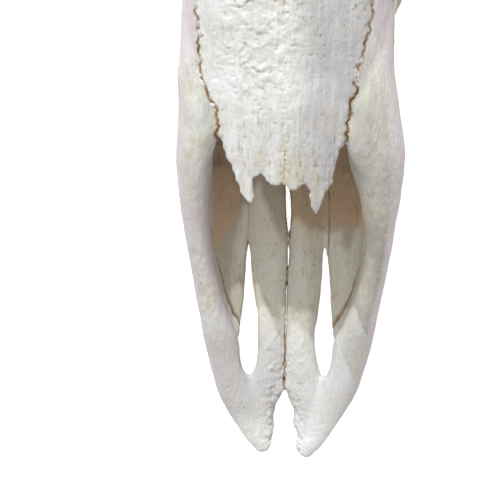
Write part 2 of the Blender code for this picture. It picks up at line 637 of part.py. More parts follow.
def sutures(into):
    """Every thin wall that the skull is parted with."""
    both = [
        sheet("face to braincase", FACE_TO_BRAINCASE, (-20, 230), "plan", into),
        sheet("bar to maxilla", BAR_TO_MAXILLA, (8, 62), "plan", into),
        sheet("premaxilla to maxilla", PREMAXILLA_TO_MAXILLA, (23, 90), "side", into),
        sheet("jugal inside", JUGAL_INSIDE, (372, 440), "front", into),
        sheet("jugal to temporal", [(80, 516), (125, 510)], (60, 130), "plan", into),
        sheet("jugal to frontal", [(450, 130), (490, 130)], (94, 130), "side", into),
        sheet("temporal edge", TEMPORAL_EDGE, (500, 606), "front", into),
    ]
    for piece in both:
        both_sides(piece, into)
    for side, line in ((-1, NASAL_LEFT_SIDE), (1, NASAL_RIGHT_SIDE)):
        beside_nasal(line, side, into)
    sheet("midline", MIDLINE, (-20, 230), "plan", into, step=15)
    sheet("midline slit", MIDLINE_SLIT, (8, 60), "plan", into, gap=2.3)
    sheet("palate roof", PALATE_ROOF, (330, 522), "front", into)
    sheet("frontal to parietal", [(-80, 520), (80, 520)], (-20, 230), "plan", into)
    sheet("parietal to occipital", OCCIPITAL_EDGE, (-20, 230), "plan", into)


def horn_seams(into):
    """The thin walls under the ossicones and under the boss on the forehead."""
    both_sides(sheet("ossicone seam", OSSICONE_SEAM, (8, 100), "side", into), into)
    sheet("boss seam", BOSS_SEAM, (-60, 60), "side", into)


def bodies(obj):
    """The separate closed surfaces of a mesh, as new meshes, largest first."""
    whole = bmesh.new()
    whole.from_mesh(obj.data)
    whole.faces.ensure_lookup_table()
    todo = set(whole.faces)
    found = []
    while todo:
        group, edge = [], [todo.pop()]
        while edge:
            face_now = edge.pop()
            group.append(face_now)
            for side in face_now.edges:
                for other in side.link_faces:
                    if other in todo:
                        todo.remove(other)
                        edge.append(other)
        found.append([[tuple(v.co) for v in f.verts] for f in group])
    whole.free()
    meshes = []
    for group in sorted(found, key=len, reverse=True):
        index = {}
        faces = [[index.setdefault(p, len(index)) for p in corners] for corners in group]
        mesh = bpy.data.meshes.new("body")
        mesh.from_pydata(list(index), [], faces)
        meshes.append(mesh)
    return meshes


# A point inside each bone, which tells the bodies apart once the skull is cut.
BONES = {
    "nasal_left": (-25, 240, 126),
    "nasal_right": (25, 240, 126),
    "premaxilla_left": (-45, 100, 54),
    "premaxilla_right": (45, 100, 54),
    "maxilla_left": (-58, 260, 70),
    "maxilla_right": (58, 260, 70),
    "frontal": (0, 450, 160),
    "palatine": (0, 470, 80),
    "zygomatic_left": (-104, 440, 80),
    "zygomatic_right": (104, 440, 80),
    "parietal": (0, 560, 120),
    "temporal_left": (-60, 560, 90),
    "temporal_right": (60, 560, 90),
    "occipital": (0, 625, 120),
    "ossicone_left": (-62, 550, 240),
    "ossicone_right": (62, 550, 240),
    "ossicone_median": (0, 386, 188),
}


def cut_apart(obj, draw):
    """Cuts a mesh with thin walls and returns its separate closed bodies."""
    walls = collection("walls")
    draw(walls)
    for wall in walls.objects:
        if "nasal" not in wall.name:
            lean(wall)
    combine(obj, walls, "DIFFERENCE", "MANIFOLD")
    parts = [m for m in bodies(obj) if len(m.polygons) > 30]
    bpy.data.objects.remove(obj, do_unlink=True)
    return parts


def nearest(parts, seed):
    """The body whose surface lies nearest to a point."""
    at = Vector(place(*seed))
    distances = []
    for mesh in parts:
        tree = BVHTree.FromPolygons([v.co for v in mesh.vertices], [p.vertices for p in mesh.polygons])
        distances.append(tree.find_nearest(at)[3])
    return parts[int(np.argmin(distances))]


def split_bones(skull, into):
    """One closed body for each bone, named."""
    parts = cut_apart(skull, horn_seams)
    rest = link(parts[0], "rest", into)
    parts = parts[1:] + cut_apart(rest, sutures)
    bones = {}
    for name, seed in BONES.items():
        mesh = nearest(parts, seed)
        bones[name] = link(mesh, name, into)
    return bones


def give_material(obj, colour, roughness):
    material = bpy.data.materials.new(obj.name + "_bone")
    material.use_nodes = True
    shader = material.node_tree.nodes["Principled BSDF"]
    shader.inputs["Base Color"].default_value = (*colour, 1.0)
    shader.inputs["Roughness"].default_value = roughness
    obj.data.materials.clear()
    obj.data.materials.append(material)


def tidy(obj):
    """Keeps a bone's largest closed surface and joins the flat faces that the cuts left,
    as far as the surface stays closed."""
    mesh = bodies(obj)[0]
    for angle in (1.5, 0.7, 0.2, 0):
        bone = bmesh.new()
        bone.from_mesh(mesh)
        if angle:
            limit = math.radians(angle)
            bmesh.ops.dissolve_limit(bone, angle_limit=limit, verts=bone.verts, edges=bone.edges)
        bmesh.ops.triangulate(bone, faces=bone.faces)
        bmesh.ops.recalc_face_normals(bone, faces=bone.faces)
        closed = all(edge.is_manifold for edge in bone.edges) and all(v.is_manifold for v in bone.verts)
        if closed or not angle:
            bone.to_mesh(mesh)
        bone.free()
        if closed:
            break
    mesh.name = obj.name
    obj.data = mesh


def main():
    clear_scene()
    skull = whole_skull()
    thin = skull.modifiers.new("thin", "DECIMATE")
    skull.data.calc_loop_triangles()
    thin.ratio = WHOLE_TRIANGLES / len(skull.data.loop_triangles)
    settle(skull)
    bones = split_bones(skull, collection("giraffe_skull"))
    for side, name in ((1, "maxilla_right"), (-1, "maxilla_left")):
        teeth = collection("teeth")
        cheek_teeth(teeth, side)
        combine(bones[name], teeth, "UNION", "MANIFOLD")
    for name in ("maxilla_right", "maxilla_left", "occipital"):
        floor = collection("floor")
        corners_x = np.array([[-200.0, 200, 200, -200]] * 2)
        corners_z = np.array([[-30.0, -30, 0, 0]] * 2)
        loft("floor", place(corners_x, np.array([[0.0], [700.0]]), corners_z), floor)
        combine(bones[name], floor, "DIFFERENCE", "MANIFOLD")
    for name, bone in bones.items():
        tidy(bone)
        horn = name.startswith("ossicone")
        give_material(bone, HORN_COLOUR if horn else BONE_COLOUR, HORN_ROUGHNESS if horn else BONE_ROUGHNESS)


if __name__ == "__main__":
    main()
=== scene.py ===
"""Giraffe skull without its lower jaw, lying on its upper teeth on a white table.

Sizes are in millimetres in the skull's own measures: x sideways from the midline, s back
from the tips of the premaxillae, z up from the chewing surfaces. place() turns them into
metres in the frame's own axes.
"""

import json
import math

import bmesh
import bpy
import numpy as np
from mathutils import Matrix, Quaternion, Vector
from mathutils.bvhtree import BVHTree

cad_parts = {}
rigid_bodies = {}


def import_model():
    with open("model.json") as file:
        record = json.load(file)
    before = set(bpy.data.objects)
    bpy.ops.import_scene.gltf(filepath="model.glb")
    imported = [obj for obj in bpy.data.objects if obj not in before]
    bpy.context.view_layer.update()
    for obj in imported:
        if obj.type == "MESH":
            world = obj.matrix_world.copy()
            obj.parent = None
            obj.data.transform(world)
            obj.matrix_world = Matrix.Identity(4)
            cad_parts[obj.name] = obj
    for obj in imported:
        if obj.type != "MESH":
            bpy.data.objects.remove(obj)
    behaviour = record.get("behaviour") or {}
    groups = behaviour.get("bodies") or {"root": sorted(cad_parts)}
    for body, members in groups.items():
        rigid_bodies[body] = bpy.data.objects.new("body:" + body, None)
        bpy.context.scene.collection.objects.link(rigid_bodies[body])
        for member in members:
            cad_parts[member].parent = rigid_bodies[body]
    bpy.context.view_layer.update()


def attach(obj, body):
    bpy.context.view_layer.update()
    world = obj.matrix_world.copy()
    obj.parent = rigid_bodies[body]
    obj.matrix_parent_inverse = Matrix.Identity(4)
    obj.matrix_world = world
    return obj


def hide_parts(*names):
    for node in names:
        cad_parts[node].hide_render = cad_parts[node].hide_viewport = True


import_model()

# The table, the camera and the lights. The camera looks down on the muzzle, and the skull
# runs out of the top of its picture. The light comes from behind and from the left, so the
# nasals throw their shadow forward onto the palate.
MM = 0.001
MIDDLE_S = 327.6
CAMERA_AT = (13.0, 125.0, 865.0)
CAMERA_LOOKS = (-72 / 1415, 0.0, -1.0)
CAMERA_ROLL = -1.2
LENS = 1415 / 480 * 36
KEY_ENERGY = 1.2
KEY_FROM = (-0.2, 0.97, 1.0)
SECOND_KEY_ENERGY = 1.15
SECOND_KEY_FROM = (-0.27, 1.13, 1.0)
HIGH_ENERGY = 0.6
HIGH_FROM = (-0.27, 0.30, 1.0)
SKY = 0.45
COOL_WHITE = (0.96, 0.99, 1.0)
HIGH_WHITE = (0.86, 0.98, 1.0)
ROOM_WHITE = (1.0, 0.94, 0.90, 1.0)
KEY_SOFT_DEG = 1.4
HIGH_SOFT_DEG = 3.5
TABLE_HALF = 3
PAPER = (0.93, 0.93, 0.93, 1)
PAPER_GLOW = 0.85


def place(x, s, z):
    """A point of the skull's measures, in metres in the model's frame."""
    x, s, z = np.broadcast_arrays(x, s, z)
    return np.stack([x, s - MIDDLE_S, z], axis=-1).astype(float) * MM


def placed(points):
    """place() for an array whose last axis holds x, s and z."""
    return place(points[..., 0], points[..., 1], points[..., 2])


def sun(name, energy, comes_from, angle, colour):
    """A parallel light that shines from a direction, with soft edges of some degrees."""
    light = bpy.data.lights.new(name, "SUN")
    light.energy = energy
    light.color = colour
    light.angle = math.radians(angle)
    obj = bpy.data.objects.new(name, light)
    obj.rotation_mode = "QUATERNION"
    obj.rotation_quaternion = Vector(comes_from).normalized().to_track_quat("Z", "Y")
    bpy.context.scene.collection.objects.link(obj)


scene = bpy.context.scene
camera_data = bpy.data.cameras.new("camera")
camera_data.sensor_width = 36
camera_data.lens = LENS
camera_data.clip_start = 0.01
camera = bpy.data.objects.new("camera", camera_data)
camera.location = place(*CAMERA_AT)
ahead = Vector(CAMERA_LOOKS).normalized()
sideways = ahead.cross(Vector((0, 1, 0))).normalized()
level = Matrix((sideways, sideways.cross(ahead), -ahead)).transposed().to_quaternion()
camera.rotation_mode = "QUATERNION"
camera.rotation_quaternion = Quaternion(ahead, math.radians(CAMERA_ROLL)) @ level
scene.collection.objects.link(camera)
scene.camera = camera
scene.view_settings.view_transform = "Standard"
sun("key", KEY_ENERGY, KEY_FROM, KEY_SOFT_DEG, COOL_WHITE)
sun("second key", SECOND_KEY_ENERGY, SECOND_KEY_FROM, KEY_SOFT_DEG, COOL_WHITE)
sun("high", HIGH_ENERGY, HIGH_FROM, HIGH_SOFT_DEG, HIGH_WHITE)
world = bpy.data.worlds.new("room")
world.use_nodes = True
sky = world.node_tree.nodes["Background"]
sky.inputs["Color"].default_value = ROOM_WHITE
sky.inputs["Strength"].default_value = SKY
scene.world = world

table_mesh = bpy.data.meshes.new("table")
corners = [(x * TABLE_HALF, y * TABLE_HALF, 0) for x, y in ((-1, -1), (1, -1), (1, 1), (-1, 1))]
table_mesh.from_pydata(corners, [], [(0, 1, 2, 3)])
table = bpy.data.objects.new("table", table_mesh)
scene.collection.objects.link(table)
paper = bpy.data.materials.new("white paper")
paper.use_nodes = True
paper_shader = paper.node_tree.nodes["Principled BSDF"]
paper_shader.inputs["Base Color"].default_value = PAPER
paper_shader.inputs["Roughness"].default_value = 0.9
paper_shader.inputs["Emission Color"].default_value = (1, 1, 1, 1)
ray = paper.node_tree.nodes.new("ShaderNodeLightPath")
glow = paper.node_tree.nodes.new("ShaderNodeMath")
glow.operation = "MULTIPLY"
glow.inputs[1].default_value = PAPER_GLOW
paper.node_tree.links.new(ray.outputs["Is Camera Ray"], glow.inputs[0])
paper.node_tree.links.new(glow.outputs["Value"], paper_shader.inputs["Emission Strength"])
table_mesh.materials.append(paper)

# The face: the two maxillae with the palate between them and the roof that the nasals
# carry. It is one hollow body here, built of cross-sections, and is parted further down
# along the sutures, as the bones of a real skull are grown from one plan.
FACE_SECTIONS = [
    # s, top z, shoulder x z, widest x z, lower edge x z, under z
    (64, 36, 22, 35, 40, 32, 36, 27, 26),
    (84, 47, 26, 45, 46, 39, 41, 23, 22),
    (100, 58, 30, 56, 50, 46, 44, 21, 20),
    (140, 90, 32, 84, 56, 64, 47, 20, 24),
    (180, 117, 35, 108, 60.5, 82, 49, 20, 27),
    (215, 125, 44, 114, 59, 88, 50, 20, 30),
    (250, 134, 47, 123, 58.5, 84, 53, 20, 31),
    (300, 147, 46, 139, 63, 94, 62, 21, 31),
    (340, 160, 48, 151, 73, 104, 70, 24, 33),
    (372, 171, 58, 160, 87, 110, 75, 34, 36),
    (392, 176, 70, 164, 98, 118, 72, 50, 44),
    (404, 178, 76, 164, 101, 120, 66, 62, 56),
]
CAVITY_SECTIONS = [
    (170, 110, 30, 104, 52, 78, 42, 34, 33),
    (215, 119, 40, 107, 52, 86, 45, 37, 38),
    (250, 128, 43, 113, 51, 84, 42, 42, 40),
    (300, 140, 42, 130, 50, 90, 38, 44, 42),
    (340, 150, 42, 141, 50, 95, 34, 48, 45),
    (376, 152, 38, 142, 46, 98, 28, 52, 48),
]
TROUGH_SECTIONS = [
    (40, 130, 34, 60, 34, 44, 30, 28, 24),
    (70, 150, 35, 80, 35, 45, 30, 29, 24),
    (100, 170, 41, 100, 41, 54, 33, 31, 26),
    (140, 190, 44, 130, 44.5, 70, 38, 35, 31),
    (174, 200, 40, 150, 44, 84, 40, 36, 33),
    (192, 200, 36, 150, 38, 122, 32, 106, 105),
]
PALATE_GAP_AT = [44.0, 56, 69, 84, 98, 111, 119, 160, 200]
PALATE_GAP_HALF = [23.0, 25.6, 26.5, 25.6, 25, 23.8, 21, 17, 3]


def collection(name):
    """A new collection in the scene."""
    made = bpy.data.collections.new(name)
    scene.collection.children.link(made)
    return made


def link(mesh, name, into):
    """A new object for a mesh, at the origin."""
    obj = bpy.data.objects.new(name, mesh)
    into.objects.link(obj)
    return obj


def follow(at, stations, values):
    """A smooth curve through a few values: cubic pieces whose slope at each value is the
    harmonic mean of the slopes beside it, so that the curve never swings past them."""
    stations = np.asarray(stations, float)
    values = np.asarray(values, float)
    steps = np.diff(stations)
    slopes = np.diff(values) / steps
    tangents = np.zeros_like(values)
    same_way = slopes[1:] * slopes[:-1] > 0
    mean = 2 * slopes[1:] * slopes[:-1] / np.where(same_way, slopes[1:] + slopes[:-1], 1)
    tangents[1:-1] = np.where(same_way, mean, 0)
    tangents[0], tangents[-1] = slopes[0], slopes[-1]
    at = np.clip(np.asarray(at, float), stations[0], stations[-1])
    i = np.clip(np.searchsorted(stations, at) - 1, 0, len(steps) - 1)
    t = (at - stations[i]) / steps[i]
    rise = values[i] * (1 + 2 * t) * (1 - t) ** 2 + values[i + 1] * t * t * (3 - 2 * t)
    lean = tangents[i] * t * (1 - t) ** 2 - tangents[i + 1] * t * t * (1 - t)
    return rise + lean * steps[i]


def run_of(path):
    """How far along a path each of its points lies: the running sum of its steps."""
    return np.concatenate([[0], np.cumsum(np.linalg.norm(np.diff(path, axis=0), axis=1))])


def loft(name, grid, into):
    """A closed skin over rings of points, grid[ring, point, xyz]: each ring is joined to
    the next by four-sided faces, and the first and last ring are capped."""
    rings, around = grid.shape[:2]
    r, a = np.meshgrid(np.arange(rings - 1), np.arange(around), indexing="ij")
    b = (a + 1) % around
    quads = np.stack([r * around + a, r * around + b, (r + 1) * around + b, (r + 1) * around + a], -1)
    last = (rings - 1) * around
    faces = quads.reshape(-1, 4).tolist()
    faces += [list(range(around)), list(range(last, last + around))]
    mesh = bpy.data.meshes.new(name)
    mesh.from_pydata(grid.reshape(-1, 3).tolist(), [], faces)
    shell = bmesh.new()
    shell.from_mesh(mesh)
    bmesh.ops.recalc_face_normals(shell, faces=shell.faces)
    shell.to_mesh(mesh)
    shell.free()
    return link(mesh, name, into)


def sections(name, table_rows, into, rings=90, around=88):
    """A bone body from its sections. Eight knots lie round each section, mirrored left and
    right; a Catmull-Rom curve runs round them, and follow() runs from section to section."""
    rows = np.asarray(table_rows, float)
    s = np.linspace(rows[0, 0], rows[-1, 0], rings)
    top, xs, zs, xw, zw, xl, zl, under = (follow(s, rows[:, 0], rows[:, k]) for k in range(1, 9))
    zero = np.zeros_like(s)
    knots_x = np.stack([zero, xs, xw, xl, zero, -xl, -xw, -xs], axis=1)
    knots_z = np.stack([top, zs, zw, zl, under, zl, zw, zs], axis=1)
    t = np.linspace(0, 8, around, endpoint=False)
    i = np.floor(t).astype(int)
    u = t - i
    weights = (
        -0.5 * u + u**2 - 0.5 * u**3,
        1 - 2.5 * u**2 + 1.5 * u**3,
        0.5 * u + 2 * u**2 - 1.5 * u**3,
        -0.5 * u**2 + 0.5 * u**3,
    )
    x = sum(w * knots_x[:, (i + k - 1) % 8] for k, w in enumerate(weights))
    z = sum(w * knots_z[:, (i + k - 1) % 8] for k, w in enumerate(weights))
    return loft(name, place(x, s[:, None], z), into)


def settle(obj):
    """Turns an object with modifiers into the plain mesh that they make."""
    graph = bpy.context.evaluated_depsgraph_get()
    mesh = bpy.data.meshes.new_from_object(obj.evaluated_get(graph))
    obj.modifiers.clear()
    old, obj.data = obj.data, mesh
    bpy.data.meshes.remove(old)
    return obj


def combine(obj, others, operation):
    """Joins a collection's solids to obj, or cuts them from it, and removes them."""
    modifier = obj.modifiers.new(operation.lower(), "BOOLEAN")
    modifier.operation = operation
    modifier.operand_type = "COLLECTION"
    modifier.collection = others
    modifier.solver = "MANIFOLD"
    settle(obj)
    for other in list(others.objects):
        bpy.data.objects.remove(other, do_unlink=True)
    bpy.data.collections.remove(others)
    return obj


skull = sections("skull", FACE_SECTIONS, scene.collection)
cuts = collection("face cuts")
sections("cavity", CAVITY_SECTIONS, cuts)
sections("trough", TROUGH_SECTIONS, cuts)
gap_half = np.array(PALATE_GAP_HALF)
gap_x = np.stack([-gap_half, gap_half, gap_half, -gap_half], axis=1)
gap_z = np.array([[0.0, 0, 60, 60]]) * np.ones((len(gap_half), 1))
loft("palate gap", place(gap_x, np.array(PALATE_GAP_AT)[:, None], gap_z), cuts)
combine(skull, cuts, "DIFFERENCE")

# The braincase with the brow, the eye sockets, the cheek arches and the crest at the back
# of the head. The eye socket is a raised ring of bone that is closed behind by a bar.
BRAINCASE_SECTIONS = [
    (376, 150, 34, 140, 46, 108, 30, 66, 54),
    (420, 176, 44, 158, 48, 115, 28, 66, 56),
    (460, 186, 60, 170, 54, 118, 30, 64, 52),
    (500, 186, 66, 168, 56, 120, 34, 60, 49),
    (530, 178, 64, 160, 58, 116, 36, 56, 47),
    (560, 168, 60, 152, 63, 108, 37, 54, 45),
    (590, 161, 62, 147, 74, 100, 41, 54, 45),
    (610, 158, 66, 143, 83, 99, 42, 58, 47),
    (624, 153, 64, 138, 82, 98, 40, 61, 50),
    (633, 141, 54, 126, 68, 96, 34, 66, 54),
    (642, 124, 34, 112, 42, 92, 24, 72, 60),
]
BROW_SECTIONS = [
    (366, 166, 40, 160, 58, 150, 44, 120, 120),
    (388, 175, 62, 168, 92, 146, 70, 122, 120),
    (404, 180, 72, 172, 105, 146, 84, 126, 130),
    (424, 184, 78, 175, 112, 148, 90, 132, 134),
    (444, 186, 80, 176, 116, 150, 92, 134, 134),
    (462, 185, 78, 174, 117, 150, 88, 134, 132),
    (480, 182, 70, 170, 96, 152, 64, 132, 130),
    (500, 180, 52, 166, 62, 150, 44, 130, 130),
]
ORBIT = (106.0, 432.0, 122.0)
ORBIT_RADIUS = 34.0
ORBIT_RIM = 6.0
ORBIT_FACES_FORWARD = 12.0
RIM_STRETCHES = (slice(0, 47), slice(40, 81))
ARCH_PATH = [
    (62, 330, 74), (80, 360, 79), (92, 383, 80), (102, 408, 79), (107, 436, 80), (108, 462, 87),
    (102, 490, 93), (95, 518, 97), (84, 546, 98), (70, 568, 96),
]
ARCH_WIDE = [4, 8, 9, 9, 7.5, 7, 6, 6.5, 9, 11]
ARCH_HIGH = [5, 13, 17, 17, 14, 12, 11, 10.5, 11, 12]
BAR_BEHIND_ORBIT = [(111, 460, 160), (112, 469, 140), (110, 472, 116), (106, 468, 92)]
CREST_PATH = [(74, 606, 68), (79, 613, 96), (71, 621, 124), (43, 628, 142), (0, 630, 148)]
TEMPORAL_LINE = [(86, 474, 166), (70, 496, 168), (60, 525, 163), (58, 565, 151), (64, 606, 142)]
PAROCCIPITAL_PATH = [(58, 606, 92), (58, 606, 56), (55, 603, 24), (52, 600, -4)]


def sweep(name, path, wide, high, into, up=(0, 0, 1), rings=56, around=36, square=2.0):
    """An oval bar carried along a path of (x, s, z) points. wide and high are half its
    size across and along up; the ring is the curve |cos|, |sin| to the power 2 / square,
    so square above 2 makes the oval boxier."""
    path = np.asarray(path, float)
    along = run_of(path)
    at = np.linspace(0, along[-1], rings)
    centre = np.stack([follow(at, along, path[:, k]) for k in range(3)], axis=1)
    tangent = np.gradient(centre, axis=0)
    tangent /= np.linalg.norm(tangent, axis=1, keepdims=True)
    side = np.cross(tangent, np.asarray(up, float))
    side /= np.linalg.norm(side, axis=1, keepdims=True)
    rise = np.cross(side, tangent)
    a = np.linspace(0, 2 * math.pi, around, endpoint=False)
    cos = np.sign(np.cos(a)) * np.abs(np.cos(a)) ** (2 / square)
    sin = np.sign(np.sin(a)) * np.abs(np.sin(a)) ** (2 / square)
    half_wide = follow(at, along, wide)[:, None, None]
    half_high = follow(at, along, high)[:, None, None]
    ring = centre[:, None] + side[:, None] * cos[:, None] * half_wide
    ring = ring + rise[:, None] * sin[:, None] * half_high
    return loft(name, placed(ring), into)


def oval(name, centre, half, into, turn=(0, 0, 0)):
    """An ellipsoid, from its centre, its half sizes and its turn in degrees: rings of
    points from pole to pole, stretched, turned and moved."""
    polar = np.linspace(0.02, math.pi - 0.02, 40)[:, None]
    a = np.linspace(0, 2 * math.pi, 56, endpoint=False)[None]
    ball = np.stack([np.sin(polar) * np.cos(a), np.sin(polar) * np.sin(a), np.cos(polar) + 0 * a], -1)
    spin = Matrix.Identity(3)
    for angle, axis in zip(turn, "XYZ"):
        spin = Matrix.Rotation(math.radians(angle), 3, axis) @ spin
    ball = (ball * np.asarray(half, float)) @ np.array(spin).T + np.asarray(centre, float)
    return loft(name, placed(ball), into)


def both_sides(obj, into):
    """Adds the mirror image of a piece on the skull's other side."""
    mesh = obj.data.copy()
    mesh.transform(Matrix.Diagonal((-1, 1, 1, 1)))
    mesh.flip_normals()
    link(mesh, obj.name + "_other", into)


forms = collection("forms")
sections("brow", BROW_SECTIONS, forms, around=96)
sections("braincase", BRAINCASE_SECTIONS, forms)
rim_angle = np.linspace(0, 2 * math.pi, 81)
rim_turn = math.radians(ORBIT_FACES_FORWARD)
rim_along = ORBIT_RADIUS * np.cos(rim_angle)
rim_path = np.stack([
    ORBIT[0] + rim_along * math.sin(rim_turn) + 5 * np.sin(rim_angle),
    ORBIT[1] + rim_along * math.cos(rim_turn),
    ORBIT[2] + ORBIT_RADIUS * 0.97 * np.sin(rim_angle),
], axis=1)
for number, stretch in enumerate(RIM_STRETCHES):
    size = [ORBIT_RIM] * len(rim_path[stretch])
    both_sides(sweep(f"rim {number}", rim_path[stretch], size, size, forms, up=(1, 0, 0)), forms)
for piece in [
    sweep("arch", ARCH_PATH, ARCH_WIDE, ARCH_HIGH, forms, rings=80),
    sweep("bar behind orbit", BAR_BEHIND_ORBIT, [6, 5, 5, 6], [9, 8, 8, 9], forms, up=(0, 1, 0)),
    sweep("crest", CREST_PATH, [8, 8, 8, 8, 8], [11, 12, 12, 12, 12], forms, up=(0, 1, 0)),
    sweep("temporal line", TEMPORAL_LINE, [8, 6, 6, 6, 6], [6, 6, 6, 6, 6], forms),
    sweep("paroccipital", PAROCCIPITAL_PATH, [13, 10, 7, 5], [17, 12, 9, 6], forms, up=(0, 1, 0)),
    oval("condyle", (27, 641, 66), (17, 19, 23), forms, turn=(-20, 0, 0)),
    oval("bulla", (38, 566, 54), (10, 19, 18), forms),
    oval("jaw socket", (66, 548, 88), (26, 18, 9), forms),
    oval("mastoid", (66, 596, 84), (14, 18, 24), forms),
    sweep("ear tube", [(58, 574, 80), (82, 580, 86)], [8, 7], [9, 8], forms, rings=12),
    sweep("pterygoid", [(24, 392, 62), (23, 410, 50), (22, 432, 44), (22, 456, 54)],
          [3, 3, 3, 4], [14, 16, 13, 8], forms),
]:
    both_sides(piece, forms)

# The ossicones, the paired horns, and the boss on the forehead: solid knobs of bone that
# grow on the frontal and parietal and fuse to them in a grown bull.
OSSICONE_BASE = np.array([50.0, 494.0, 176.0])
OSSICONE_LENGTH = 158.0
OSSICONE_BACK = 40.0
OSSICONE_OUT = 8.0
OSSICONE_ALONG = [-0.12, 0.0, 0.1, 0.25, 0.5, 0.72, 0.86, 0.95, 1.0, 1.02]
OSSICONE_RADIUS = [38, 36, 31, 25.5, 22, 21.5, 24.5, 24, 15, 4]

back, out = math.radians(OSSICONE_BACK), math.radians(OSSICONE_OUT)
horn_axis = np.array([math.sin(out), math.sin(back), math.cos(back) * math.cos(out)])
horn_along = np.array(OSSICONE_ALONG)[:, None]
horn_path = OSSICONE_BASE + horn_axis * OSSICONE_LENGTH * horn_along
horn_path[:, 1] -= 16 * horn_along[:, 0] ** 2
horn_path[:, 2] += 6 * horn_along[:, 0] ** 2
horn_radius = np.array(OSSICONE_RADIUS, float)
horn = sweep("ossicone", horn_path, horn_radius, horn_radius * 1.06, forms, up=(0, 1, 0), rings=96, around=64)
both_sides(horn, forms)
oval("median boss", (0, 386, 160), (36, 58, 37), forms, turn=(15, 0, 0))
oval("boss foot", (0, 372, 150), (42, 88, 32), forms, turn=(16, 0, 0))
combine(skull, forms, "UNION")

# The holes: the eye sockets, the gap in front of each, the canal below the eye, the ear,
# the hole for the spinal cord and the rear opening of the nose.
holes = collection("holes")
orbit_x, orbit_s, orbit_z = ORBIT
for piece in [
    oval("socket", (orbit_x + 4, orbit_s - 1, orbit_z), (50, ORBIT_RADIUS - 3, ORBIT_RADIUS - 4), holes),
    oval("vacuity", (58, 354, 150), (20, 24, 7), holes, turn=(16, 35, 8)),
    oval("infraorbital", (58, 226, 56), (12, 8, 5), holes),
    sweep("ear hole", [(66, 577, 83), (92, 582, 88)], [4.5, 4.5], [5, 5], holes, rings=8),
]:
    both_sides(piece, holes)
sweep("foramen magnum", [(0, 606, 86), (0, 670, 82)], [17, 19], [16, 18], holes, rings=12)
sweep("choana", [(0, 372, 72), (0, 400, 64), (0, 432, 58), (0, 462, 40)],
      [19, 19, 18, 16], [20, 17, 15, 13], holes)
combine(skull, holes, "DIFFERENCE")

# The two sides of a real skull never match: how far each place leans sideways, and how
# much further the right premaxilla reaches.
LEAN_AT = [0, 60, 125, 150, 176, 200, 225, 248, 266, 330]
LEAN_NEAR_MIDDLE = [-1.4, -1.6, -1.0, -1.8, -2.5, -2.5, -3, -3, -2, 0]
LEAN_AT_SIDES = [0, 0, 0, 0, 0, -1.5, -3, -3, -2, 0]
TIP_LONGER = 2.4
BODY_VOXEL = 1.5
BODY_ROUNDS = 21


def as_array(rows, word, width, kind=float):
    """One value of all of a mesh's points, edges or faces, as an array with a row for each."""
    values = np.empty(len(rows) * width, dtype=kind)
    rows.foreach_get(word, values)
    return values.reshape(-1, width)


def read_points(mesh):
    """A mesh's points as an array in the skull's measures."""
    return as_array(mesh.vertices, "co", 3) / MM + (0, MIDDLE_S, 0)


def write_points(mesh, points):
    """Puts points in the skull's measures back into their mesh."""
    mesh.vertices.foreach_set("co", placed(points).ravel())
    mesh.update()


def lean(obj):
    """Moves each point sideways by a curve along s, which differs near the middle and at
    the sides, and the right side's tip forward."""
    points = read_points(obj.data)
    x, s = points[:, 0].copy(), points[:, 1]
    side = np.clip(np.abs(x) / 45, 0, 1) ** 2
    near_middle = follow(s, LEAN_AT, LEAN_NEAR_MIDDLE)
    at_sides = follow(s, LEAN_AT, LEAN_AT_SIDES)
    points[:, 0] += near_middle * (1 - side) + at_sides * side
    points[:, 1] -= TIP_LONGER * np.clip(1 - s / 25, 0, 1) * (x > 0)
    write_points(obj.data, points)


def remesh(obj, voxel, rounds):
    """Fuses what an object holds into one even skin of small squares and softens it."""
    skin = obj.modifiers.new("skin", "REMESH")
    skin.mode = "VOXEL"
    skin.voxel_size = voxel * MM
    soften = obj.modifiers.new("soften", "SMOOTH")
    soften.factor = 0.5
    soften.iterations = rounds
    return settle(obj)


remesh(skull, BODY_VOXEL, BODY_ROUNDS)
lean(skull)

# The premaxillae: the paired bones of the muzzle's tip. Each has a flat body in front, an
# arm that runs up the side of the nose and a bar that runs back along its floor.
ARM_PATH = [
    (11.2, -1.5, 16), (12.2, 1, 16.3), (13, 4, 16.7), (16.4, 10.5, 17.6), (19.7, 19, 19.6),
    (25.2, 29.5, 22.6), (31, 40, 26.4), (35, 52, 31), (38.5, 66, 37), (44, 85, 46), (49.5, 112, 60),
    (51.7, 130, 70), (53, 150, 80), (51.9, 175, 91), (50, 200, 96), (50.5, 225, 100), (51.5, 250, 104),
]
ARM_WIDE = [3, 5.4, 6.7, 8.3, 10.5, 11.5, 11.2, 10.5, 10.3, 8, 7, 7.3, 8.5, 10.6, 10, 7.5, 5.5]
ARM_HIGH = [2, 3.4, 4.2, 5.5, 6.5, 7, 7.5, 8, 8.5, 9, 9.5, 10, 12, 14, 15, 13, 8]
ARM_INWARDS_AT = [120, 135, 148, 159, 178, 200, 230, 250]
ARM_INWARDS = [0, 2.5, 4.5, 7.5, 8.8, 8.4, 3, 0]
BAR_PATH = [
    (14.8, 5, 17), (14.5, 12, 18.2), (14, 20, 19.8), (13.2, 28, 21.6), (12.2, 35, 23.6), (11.3, 41, 25.3),
    (10.3, 48, 27), (9.4, 55, 28.4), (8.8, 69, 29.5), (9.8, 84, 30), (10.8, 98, 30.5), (11.3, 112, 31),
    (11.5, 130, 31), (11.5, 160, 31), (9, 196, 31),
]
BAR_WIDE = [6.5, 8, 8, 8.3, 10.2, 10.9, 10.2, 9.1, 8.4, 9.4, 10.5, 11, 11.2, 11, 9]
BAR_HIGH = [3.4, 4.6, 5.4, 5.6, 5.5, 5.4, 5.4, 5.4, 5.4, 5.6, 5.8, 5.8, 5.8, 5.6, 5]
